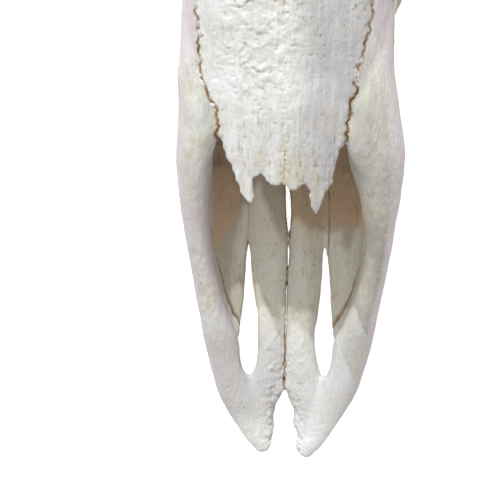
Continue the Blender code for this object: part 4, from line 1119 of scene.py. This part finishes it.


# The nasals, the two long bones of the nose's roof. In an old bull their middle is rough
# with small knobs and pits of new bone, and their front splits into fibres. The right one
# has rows of pinholes, and its suture is a wider brown band. The right one is painted
# greyer as shade and the left one whiter as painted light.
NASAL_VOXEL = 0.62
NASAL_PALE = (0.925, 0.935, 0.935, 1)
NASAL_WARM = (0.85, 0.85, 0.82, 1)
KNOBS_X = -12
KNOBS_HALF_LEFT = 26
KNOBS_HALF_RIGHT = 19
KNOB = (4.4, 3.2, 6)
SMALL_KNOB = (1.9, 1.6, 3.4)
PIT = (2.6, 1.8, 4)
PINK_SPOTS = [(-22, 258), (-17, 250)]
nasal_bone = bone_material("nasal bone", NASAL_PALE, NASAL_WARM, bump=0.65)
for side, node in ((-1, "nasal_left"), (1, "nasal_right")):
    obj, p, n, seam = bone(node + "_bone", (side * 25, 240, 126), NASAL_VOXEL)
    x, s = p[:, 0], p[:, 1]
    up = step_up(n[:, 2], 0.2, 0.7)
    edge = step_up(seam, 2.2, 0.3)
    split = up * step_up(s, 205, 172)

    # knobs and pits in the middle
    knobs_half = np.where(x < KNOBS_X, KNOBS_HALF_LEFT, KNOBS_HALF_RIGHT)
    rough = up * np.exp(-(((x - KNOBS_X) / knobs_half) ** 4)) * step_up(s, 184, 212) * step_up(s, 345, 300)
    rough *= 0.6 + 0.4 * patches(p, 12, 57, -0.4, 0.3)
    curled = p + 1.8 * np.stack([noise(p, 5, 41), noise(p, 5, 42), 0 * x], axis=1)
    knobs = noise(curled, KNOB, 43)
    pits = patches(curled, PIT, 45, 0.5, 0.8)
    knobbed = 0.62 * np.clip(knobs, -0.5, 1) + 0.27 * noise(curled, SMALL_KNOB, 44) - 0.5 * pits
    relief = rough * (knobbed + 0.4 * noise(p, (10, 8, 10), 58))

    # fibres, slits, pinholes in rows, and beads beside the sutures
    thin_lines = step_up(np.abs(noise(p, (1.7, 75, 12), 46)), 0.12, 0.0)
    grooves = thin_lines * patches(p, (2.5, 14, 9), 91, -0.35, 0.1)
    relief += split * (-0.45 * grooves + 0.26 * noise(p, (0.9, 14, 4), 47))
    relief += up * (0.14 * noise(p, (1.4, 10, 4), 48) - 0.25 * patches(p, (1.6, 2.4, 3), 49, 0.5, 0.8))
    relief += grown(p, 50) + edge * 0.35 * noise(p, 1.5, 54)
    slits = patches(p, (0.9, 7, 5), 59, 0.68, 0.84) * up * (0.4 + 0.6 * split)
    pinholes = patches(p, (0.9, 1.7, 3), 132, 0.58, 0.76) * patches(p, (3.2, 30, 9), 131, 0.1, 0.4)
    pinholes *= up * step_up(x, 4, 12) * step_up(s, 196, 214)
    beads = step_up(seam, 1.9, 0.9) * patches(p, (1.3, 1.5, 3), 133, 0.25, 0.5) * step_up(np.abs(x), 22, 30)
    relief -= 0.3 * pinholes + 0.35 * beads * up + 0.35 * slits

    # colours
    streaks = noise(p, (1.5, 24, 6), 134) + 0.6 * noise(p, (0.8, 11, 4), 135)
    brown_split = split * grooves * patches(p, (3, 9, 9), 56, -0.1, 0.4)
    band = 0.5 + 1.1 * patches(p, 7, 65, -0.3, 0.4) + 0.9 * (side > 0) * step_up(s, 210, 200)
    seam_brown = np.maximum(stained(p, seam, 55, band, 0.45), 0.7 * beads)
    olive = 0.55 * split * np.exp(-(((x + 3) / 2) ** 2)) + 0.25 * split * grooves
    olive += 0.3 * rough * patches(p, (10, 13, 10), 60, 0.0, 0.5) * step_up(-knobs, -0.2, 0.4)
    olive += 0.5 * split * patches(p, (4, 9, 4), 90, -0.3, 0.5)
    pink = 0.5 * sum(bump_at(p, at_x, at_s, 5, 5) for at_x, at_s in PINK_SPOTS)
    # painted shade: the right half is darker grey, as if turned from the light
    grey = step_up(x, -2, 16) * (0.66 + 0.16 * noise(p, 18, 67) + 0.2 * streaks)
    place_bone(
        obj, node, p + n * relief[:, None], nasal_bone,
        seam=seam_brown * step_up(np.abs(x + 1.4), 5, 12),
        pit=0.5 * rough * pits + 0.45 * brown_split + 0.5 * slits + 0.55 * pinholes,
        # painted light: the left half is whiter, as if facing the light
        clean=0.7 * step_up(x, 2, -10) * patches(p, 14, 66, -0.5, 0.3),
        olive=olive,
        pink=pink + 0.35 * edge * step_up(-x, 20, 30),
        grey=grey + split * (0.28 + 0.16 * streaks),
    )

# The premaxillae, smooth on their arms, rough and furrowed where the two meet in front. The
# right one's inner side has a painted grey shadow, in two layers that each end in front in a
# point, a painted shadow with a slanted edge lies across the left bar, and the left arm's
# inner side is painted in shade.
PREMAXILLA_VOXEL = 0.7
FILM_FAR_X = [26, 30.5, 34.1, 37.8, 41.2, 45.1, 52]
FILM_FAR_S = [77, 81.6, 85, 88.8, 80.6, 72.1, 58]
FILM_NEAR_X = [25.6, 29.3, 33.2, 35.4, 38.5, 42.3, 50]
FILM_NEAR_S = [63.2, 64.6, 59.2, 52.2, 44.8, 42.4, 34]
BAR_FILM_X = -22.1
BAR_FILM_S = 104.4
BAR_FILM_SLOPE = 1.515
CLEFT_X = -1.3
premaxilla_bone = bone_material("premaxilla bone")
for side, node in ((-1, "premaxilla_left"), (1, "premaxilla_right")):
    obj, p, n, seam = bone(node + "_bone", (side * 45, 100, 54), PREMAXILLA_VOXEL)
    x, s, z = p.T
    off_middle = np.abs(x)
    left, right = side < 0, side > 0
    up = step_up(n[:, 2], 0.0, 0.6)
    arm = step_up(off_middle, 28, 36)
    bar = step_up(off_middle, 25, 20) * step_up(s, 55, 90)
    medial = step_up(np.abs(x - CLEFT_X), 17, 7) * step_up(s, 92, 60) * up
    upper_arm = arm * step_up(s, 128, 150) * step_up(s, 235, 205)

    # relief: furrows and crust where the two meet, torn edges at the tips, pores
    slant = p @ np.array([[0.8, 0.6 * side, 0], [-0.6 * side, 0.8, 0], [0, 0, 1]])
    furrow = step_up(np.abs(noise(slant, (7, 1.9, 6), 63)), 0.2, 0.0) * medial * step_up(s, 48, 30)
    relief = medial * (0.22 * noise(p, 2.4, 61) + 0.24 * noise(p, 1.3, 62)) - 0.35 * furrow
    relief += 0.8 * grown(p, 64) + 0.07 * noise(p, (1.1, 18, 1.5), 68) + closed_up(n, seam)
    relief += step_up(seam, 2.0, 0.3) * 0.22 * noise(p, 1.4, 69)
    torn = step_up(-side * n[:, 0], 0.1, 0.7) * step_up(s, 46, 36) * step_up(off_middle, 24, 16)
    relief += torn * (1.1 * noise(p, (9, 6.5, 9), 73) + 0.35 * noise(p, (4, 2.6, 4), 74))
    pores = patches(p, (1.0, 1.9, 1.0), 76, 0.66, 0.82) * patches(p, (11, 15, 11), 77, 0.0, 0.4)
    relief -= 0.2 * pores
    crust = medial * step_up(s, 88, 60) * left
    relief += crust * (0.45 * noise(p, (3, 7, 4), 78) + 0.38 * noise(p, (1.4, 3.2, 1.4), 79))
    relief += upper_arm * 0.08 * noise(p, (1.5, 5, 1.5), 81)

    # the painted shadow: two cast shadows on the right arm's inner side, one across the left bar,
    # and painted shade on the left arm's inner side; mottle on the upper arms
    inner_side = right * arm * step_up(n[:, 0], 0.78, 0.3)
    far_edge = s - np.interp(x, FILM_FAR_X, FILM_FAR_S) - 1.2 * noise(p, 5, 83)
    near_edge = s - np.interp(x, FILM_NEAR_X, FILM_NEAR_S) - 1.2 * noise(p, 5, 83)
    film = 0.62 * step_up(far_edge, -0.8, 0.8) + 0.38 * step_up(near_edge, -0.8, 0.8)
    film *= inner_side * step_up(s, 235, 190) * (1 - 0.4 * step_up(s, 125, 150))
    film += upper_arm * up * 0.16 * patches(p, (2.1, 6, 2.1), 80, -0.1, 0.5)
    film += 0.6 * left * arm * step_up(s, 100, 140) * step_up(s, 235, 205) * step_up(off_middle, 51, 43)
    past_line = s - BAR_FILM_S + BAR_FILM_SLOPE * (x - BAR_FILM_X)
    film += 0.8 * left * bar * step_up(s, 85, 87.5) * step_up(past_line, 2, -1.5)

    # colours
    stale = patches(p, (9, 15, 9), 71, -0.3, 0.4) * patches(p, (2.6, 4.2, 2.6), 75, -0.2, 0.35)
    moss = patches(p, (4, 7, 4), 136, 0.1, 0.5) * patches(p, (1.7, 3, 1.7), 137, -0.2, 0.4) * arm
    # painted shade: a dark line along the crease of the right bar
    crease = np.exp(-(((x - follow(s, CREASE_AT, CREASE_X) + 2.2) / 1.2) ** 2)) * right * bar
    closed_seam = step_up(s, 106, 112) * step_up(off_middle, 29, 26) * step_up(off_middle, 8, 12)
    outwards = np.maximum(n[:, 0], -n[:, 0] * left)
    # brown inside the arms under the nasals: part stain, part painted shade
    deep = step_up(off_middle, 46, 40) * step_up(s, 112, 150) * step_up(z, 92, 76)
    # painted light on the lit front of the muzzle and on its tips
    clean = 0.45 * step_up(s, 70, 45) + 0.45 * step_up(s, 24, 8)
    place_bone(
        obj, node, p + n * relief[:, None], premaxilla_bone, film=film,
        seam=stained(p, seam, 70, 1.1, 0.75) * (1 - 0.85 * closed_seam),
        pit=np.maximum(0.35 * furrow, 0.16 * crease * step_up(s, 60, 80)) + 0.4 * pores
        + 0.4 * bar * patches(p, (1.2, 2, 1.2), 84, 0.62, 0.8),
        olive=0.45 * bar + 0.42 * moss + (0.4 * arm * up + 0.15) * stale
        + 0.5 * step_up(n[:, 2], 0.45, 0.1) * step_up(s, 6, 1),
        # painted sheen: pink on the arms' faces that turn sideways
        pink=0.65 * arm * step_up(outwards, 0.3, 0.85) + 0.2 * arm * patches(p, 24, 72, 0.0, 0.5),
        deep=deep * (0.85 if right else 0.35),
        # painted light: the lit front and tips, and the lit wedge below the right arm's painted shadow
        clean=clean * (1 if right else 0.6) + 0.4 * inner_side * step_up(-near_edge, -0.8, 0.8),
        # painted shade: the bodies greyer, the left one more, and grey on the arms' outer edges
        grey=(0.62 if left else 0.36) * step_up(s, 84, 62) * step_up(s, 12, 26)
        + 0.2 * step_up(side * x, 44, 52) * step_up(s, 60, 100),
    )

# The maxillae, the tall sides of the face with the palate's front half. The palate is dull
# and dirty, and under the nasals' roof it is painted a deep brown, part stain and part
# painted shade, with an edge that is square on the right and slants on the left. The left
# top is painted whiter as light and the right top greyer as shade, and faces that turn
# outwards carry a painted pink sheen.
MAXILLA_VOXEL = 1.1
face_bone = bone_material("face bone")
for side, node in ((-1, "maxilla_left"), (1, "maxilla_right")):
    obj, p, n, seam = bone(node + "_bone", (side * 58, 260, 70), MAXILLA_VOXEL)
    x, s, z = p.T
    off_middle = np.abs(x)
    left, right = side < 0, side > 0
    relief = grown(p, 80) + 0.2 * step_up(seam, 2.4, 0.3) * noise(p, 1.8, 84) + closed_up(n, seam, 0.3)
    inside = step_up(off_middle, 52, 40) * step_up(s, 215, 190)
    outer = step_up(side * n[:, 0], 0.3, 0.9) * step_up(s, 260, 160)
    palate = step_up(off_middle, 50, 42) * step_up(z, 62, 48) * step_up(s, 215, 190)
    brown = step_up(s, 126, 139) if right else step_up(s - 2 * (x + 23), 149, 165)
    dirt = patches(p, (1.8, 3, 1.8), 86, 0.1, 0.6) * patches(p, (8, 12, 8), 87, -0.3, 0.4)
    closed_seam = step_up(s, 106, 112) * step_up(off_middle, 29, 26) * step_up(z, 70, 50)
    place_bone(
        obj, node, p + n * relief[:, None], face_bone,
        seam=stained(p, seam, 85, 1.1, 0.75) * (1 - 0.85 * closed_seam),
        pit=(0.42 if left else 0.25) * palate * dirt,
        olive=0.6 * step_up(off_middle, 52, 40) * step_up(z, 60, 45),
        # painted sheen: pink on the faces that turn outwards
        pink=0.45 * outer,
        # brown under the nasal roof: part stain, part painted shade
        deep=inside * brown * step_up(z, 110, 95),
        # painted light on the left top, painted shade on the right top
        clean=step_up(z, 90, 108) * left,
        grey=0.4 * step_up(z, 90, 110) * right,
    )

# Bridges of new bone over the nasals' sutures. With age the bones grow together: the seam
# between the two nasals closes but for their front, and those at their sides close in places.
BRIDGE_HALF = 1.3
BRIDGE_THICK = 1.0
BRIDGE_SINKS = 2.4
face_points, face_faces = [], []
for word in ("nasal", "premaxilla", "maxilla"):
    for node in (f"{word}_left", f"{word}_right"):
        mesh = bpy.data.objects[node + "_bone"].data
        start = len(face_points)
        face_points.extend(v.co.copy() for v in mesh.vertices)
        face_faces.extend([start + i for i in f.vertices] for f in mesh.polygons)
face_tree = BVHTree.FromPolygons(face_points, face_faces)


def roof_at(x, s):
    """The height of the face's upper surface at each place, found from above."""
    above = place(x, s, np.full_like(x, 260.0))
    hits = [face_tree.ray_cast(Vector(spot), Vector((0, 0, -1)))[0] for spot in above]
    return np.array([hit.z / MM for hit in hits])


def bridge(name, node, s, x, closed):
    """A low strip of bone along a seam: its top follows the bone on both sides, and it sinks
    away where closed is 0."""
    offsets = np.array([-1, -0.75, -0.4, 0, 0.4, 0.75, 1]) * BRIDGE_HALF
    low, high = roof_at(x - 1.15 * BRIDGE_HALF, s), roof_at(x + 1.15 * BRIDGE_HALF, s)
    kernel = np.ones(3) / 3
    low, high = (np.convolve(np.pad(v, 1, "edge"), kernel, "valid") for v in (low, high))
    t = (offsets / BRIDGE_HALF + 1) / 2
    top = low[:, None] * (1 - t) + high[:, None] * t - 0.3 * (2 * t - 1) ** 4
    wide = 0.45 + 0.55 * closed[:, None]
    ring_x = x[:, None] + offsets * wide
    top = top - BRIDGE_SINKS * (1 - closed[:, None])
    grain = np.stack([ring_x, s[:, None] + 0 * ring_x, top], axis=-1)
    top = top - 0.02 + 0.2 * noise(grain, (1.9, 1.6, 3.4), 44) + 0.16 * noise(grain, 1.1, 121)
    ring_x = np.concatenate([ring_x, ring_x[:, ::-1]], axis=1)
    ring_z = np.concatenate([top, top[:, ::-1] - BRIDGE_THICK], axis=1)
    obj = loft(name, place(ring_x, s[:, None], ring_z), scene.collection)
    points = read_points(obj.data)
    stale = step_up(points[:, 1], 186, 168) * step_up(np.abs(points[:, 0]), 12, 6)
    place_bone(
        # painted shade: the right half greyer, as on the nasals
        obj, node, points, nasal_bone, grey=0.3 * step_up(points[:, 0], -2, 12), olive=0.8 * stale,
        pit=0.4 * stale * patches(points, (3, 9, 9), 138, -0.2, 0.5),
    )


midline = ragged(MIDLINE, WALL_STEP, MIDLINE_WAVES, MIDLINE_SEED)
along = np.arange(158, 336, 0.4)
middle_x = np.interp(along, midline[:, 1], midline[:, 0]) + follow(along, LEAN_AT, LEAN_NEAR_MIDDLE)
shut = 0.72 + 0.28 * step_up(along, 172, 184)
bridge("nasal_bridge", "nasal_left", along, middle_x, shut)
for side, word, line, seed, least in (
    (-1, "left", NASAL_LEFT_SIDE, LEFT_SIDE_SEED, -0.25),
    (1, "right", NASAL_RIGHT_SIDE, RIGHT_SIDE_SEED, 0.15),
):
    along, line_x = side_line(line, seed)
    near = (along > 196) & (along < 330)
    along, line_x = along[near], line_x[near]
    flat = np.stack([along, 0 * along, 0 * along], axis=1)
    shut = patches(flat, 4.2, 123 + side, least, least + 0.3)
    bridge(f"side_bridge_{word}", f"nasal_{word}", along, line_x, shut)

# The cheek teeth of the upper jaw, three premolars and three molars on each side. Each lobe
# is a pair of enamel crescents with softer dentine between them, worn by chewing, and stands
# with its roots in the sockets of the maxilla.
TEETH = [
    # middle s, x, half length, half width, biting surface z, lobes
    (229, 44.5, 10, 9.5, 5, 1),
    (249.6, 48, 10.5, 11, 3, 1),
    (271, 51.5, 10, 12, 1.5, 1),
    (295, 55, 13.5, 13.5, 0, 2),
    (324, 58.5, 15, 14.5, 0, 2),
    (354, 60.5, 14.5, 14, 0, 2),
]
TOOTH_VOXEL = 0.75
ENAMEL_PALE = (0.80, 0.765, 0.68, 1)
ENAMEL_WARM = (0.66, 0.58, 0.44, 1)
enamel = bone_material("tooth enamel", ENAMEL_PALE, ENAMEL_WARM, fibre=(1, 1, 0.25), rough=0.34, bump=0.3)


def tooth_lobes():
    """Each lobe's middle s, x, half length, half width and biting height."""
    for s, x, half_long, half_wide, bite, lobes in TEETH:
        for lobe in range(lobes):
            long = half_long / lobes
            yield s + (2 * lobe - lobes + 1) * long, x, long, half_wide, bite


def crown(name, side, s, x, long, wide, bite, into):
    """One lobe: rings from its roots down to its biting edge. The ring is a rounded box
    whose cheek side has a rib at each end and one in the middle."""
    z = np.array([32, 26, 21, 16, 11, bite + 3, bite + 1, bite, bite - 0.2])[:, None]
    swell = np.array([0.8, 0.88, 0.95, 1.0, 1.02, 0.99, 0.95, 0.9, 0.6])[:, None]
    a = np.linspace(0, 2 * math.pi, 72, endpoint=False)[None]
    along = np.sign(np.cos(a)) * np.abs(np.cos(a)) ** 0.75
    across = np.sign(np.sin(a)) * np.abs(np.sin(a)) ** 0.8
    cheek = np.clip(np.sin(a), 0, 1) ** 0.5
    across = across + cheek * 0.07 * np.cos(along * 2 * math.pi) - 0.12 * np.abs(along) ** 3 * (across < 0)
    ring_s = s + long * 1.07 * along * swell
    ring_x = side * (x - 0.6 + wide * across * (0.55 + 0.45 * swell) * np.minimum(swell + 0.06, 1))
    return loft(name, place(ring_x, ring_s, z + 0 * a), into)


def worn(points, normals, side):
    """The biting surface's relief and its dark pits: in each lobe a deep crescent between
    two enamel ridges, shallow dentine beside them and an enamel rim."""
    relief = np.zeros(len(points))
    dark = np.zeros(len(points))
    down = step_up(-normals[:, 2], 0.45, 0.85)
    for s, x, long, wide, bite in tooth_lobes():
        u = (points[:, 1] - s) / long
        v = (side * points[:, 0] - x + 0.6) / wide
        near = (np.abs(u) < 1.05) & (np.abs(v) < 1.1) & (points[:, 2] < bite + 3)
        crescent = np.abs(v - (0.42 * u**2 - 0.12)) + 0.5 * np.clip(np.abs(u) - 0.62, 0, 1)
        hollow = step_up(crescent, 0.17, 0.07)
        rim = np.maximum(np.abs(u), np.abs(v))
        basin = step_up(crescent, 0.24, 0.32) * step_up(rim, 0.86, 0.76)
        relief = np.where(near, -down * (1.9 * hollow + 0.7 * basin), relief)
        dark = np.where(near, down * (0.95 * hollow + 0.35 * basin), dark)
    return relief, dark


for side, word in ((-1, "left"), (1, "right")):
    crowns = collection(f"crowns {word}")
    for number, (s, x, long, wide, bite) in enumerate(tooth_lobes()):
        crown(f"crown {number}", side, s, x, long, wide, bite, crowns)
    first, *others = list(crowns.objects)
    teeth = link(first.data.copy(), f"teeth_{word}", scene.collection)
    combine(teeth, crowns, "UNION")
    remesh(teeth, TOOTH_VOXEL, BONE_ROUNDS)
    p, n = read_points(teeth.data), normals_of(teeth.data)
    relief, dark = worn(p, n, side)
    wall_of_tooth = step_up(np.abs(n[:, 2]), 0.7, 0.3)
    relief += 0.14 * noise(p, (1.6, 1.6, 9), 111) * wall_of_tooth + 0.08 * noise(p, 1.1, 112)
    gum_line = step_up(p[:, 2], 15, 20) * wall_of_tooth
    place_bone(
        teeth, f"maxilla_{word}", p + n * relief[:, None], enamel,
        pit=dark + 0.25 * gum_line * patches(p, 4, 113, -0.2, 0.5),
        olive=0.4 * patches(p, (5, 5, 9), 114, 0.0, 0.6),
    )

# The rest of the skull behind the face: brow, rear palate, cheek bones, braincase, temples
# and the back of the head, in bones of the same stuff, a little creamier.
SKULL_PALE = (0.86, 0.845, 0.80, 1)
SKULL_WARM = (0.77, 0.74, 0.655, 1)
skull_bone = bone_material("skull bone", SKULL_PALE, SKULL_WARM)
for node, seed_at, voxel in (
    ("frontal", (0, 450, 160), 1.5),
    ("palatine", (0, 470, 80), 1.5),
    ("zygomatic_left", (-104, 440, 80), 1.2),
    ("zygomatic_right", (104, 440, 80), 1.2),
    ("parietal", (0, 560, 120), 1.4),
    ("temporal_left", (-60, 560, 90), 1.3),
    ("temporal_right", (60, 560, 90), 1.3),
    ("occipital", (0, 625, 120), 1.4),
):
    obj, p, n, seam = bone(node + "_bone", seed_at, voxel)
    relief = grown(p, 90) + 0.25 * step_up(seam, 2.4, 0.3) * noise(p, 1.9, 94) + closed_up(n, seam, 0.3)
    place_bone(obj, node, p + n * relief[:, None], skull_bone, seam=stained(p, seam, 95))

# The ossicones and the boss: solid bone, denser than the skull's and knobbly, most of all
# at the tips, fused to the brow and the braincase along a seam round their foot.
HORN_VOXEL = 1.1
HORN_PALE = (0.80, 0.765, 0.69, 1)
HORN_WARM = (0.70, 0.64, 0.53, 1)
BOSS_KNOBBY = 0.7
horn_bone = bone_material("horn bone", HORN_PALE, HORN_WARM, fibre=(1, 1, 0.3))
for node, seed_at in (
    ("ossicone_left", (-62, 550, 240)),
    ("ossicone_right", (62, 550, 240)),
    ("ossicone_median", (0, 386, 188)),
):
    obj, p, n, seam = bone(node + "_bone", seed_at, HORN_VOXEL)
    tip = step_up(p[:, 2], 240, 290) if node != "ossicone_median" else BOSS_KNOBBY
    relief = grown(p, 100) + tip * (0.9 * noise(p, 6, 104) + 0.45 * noise(p, 2.6, 105))
    relief += 0.3 * noise(p, (2.4, 2.4, 9), 106)
    place_bone(obj, node, p + n * relief[:, None], horn_bone, "horn_bone", seam=stained(p, seam, 107))
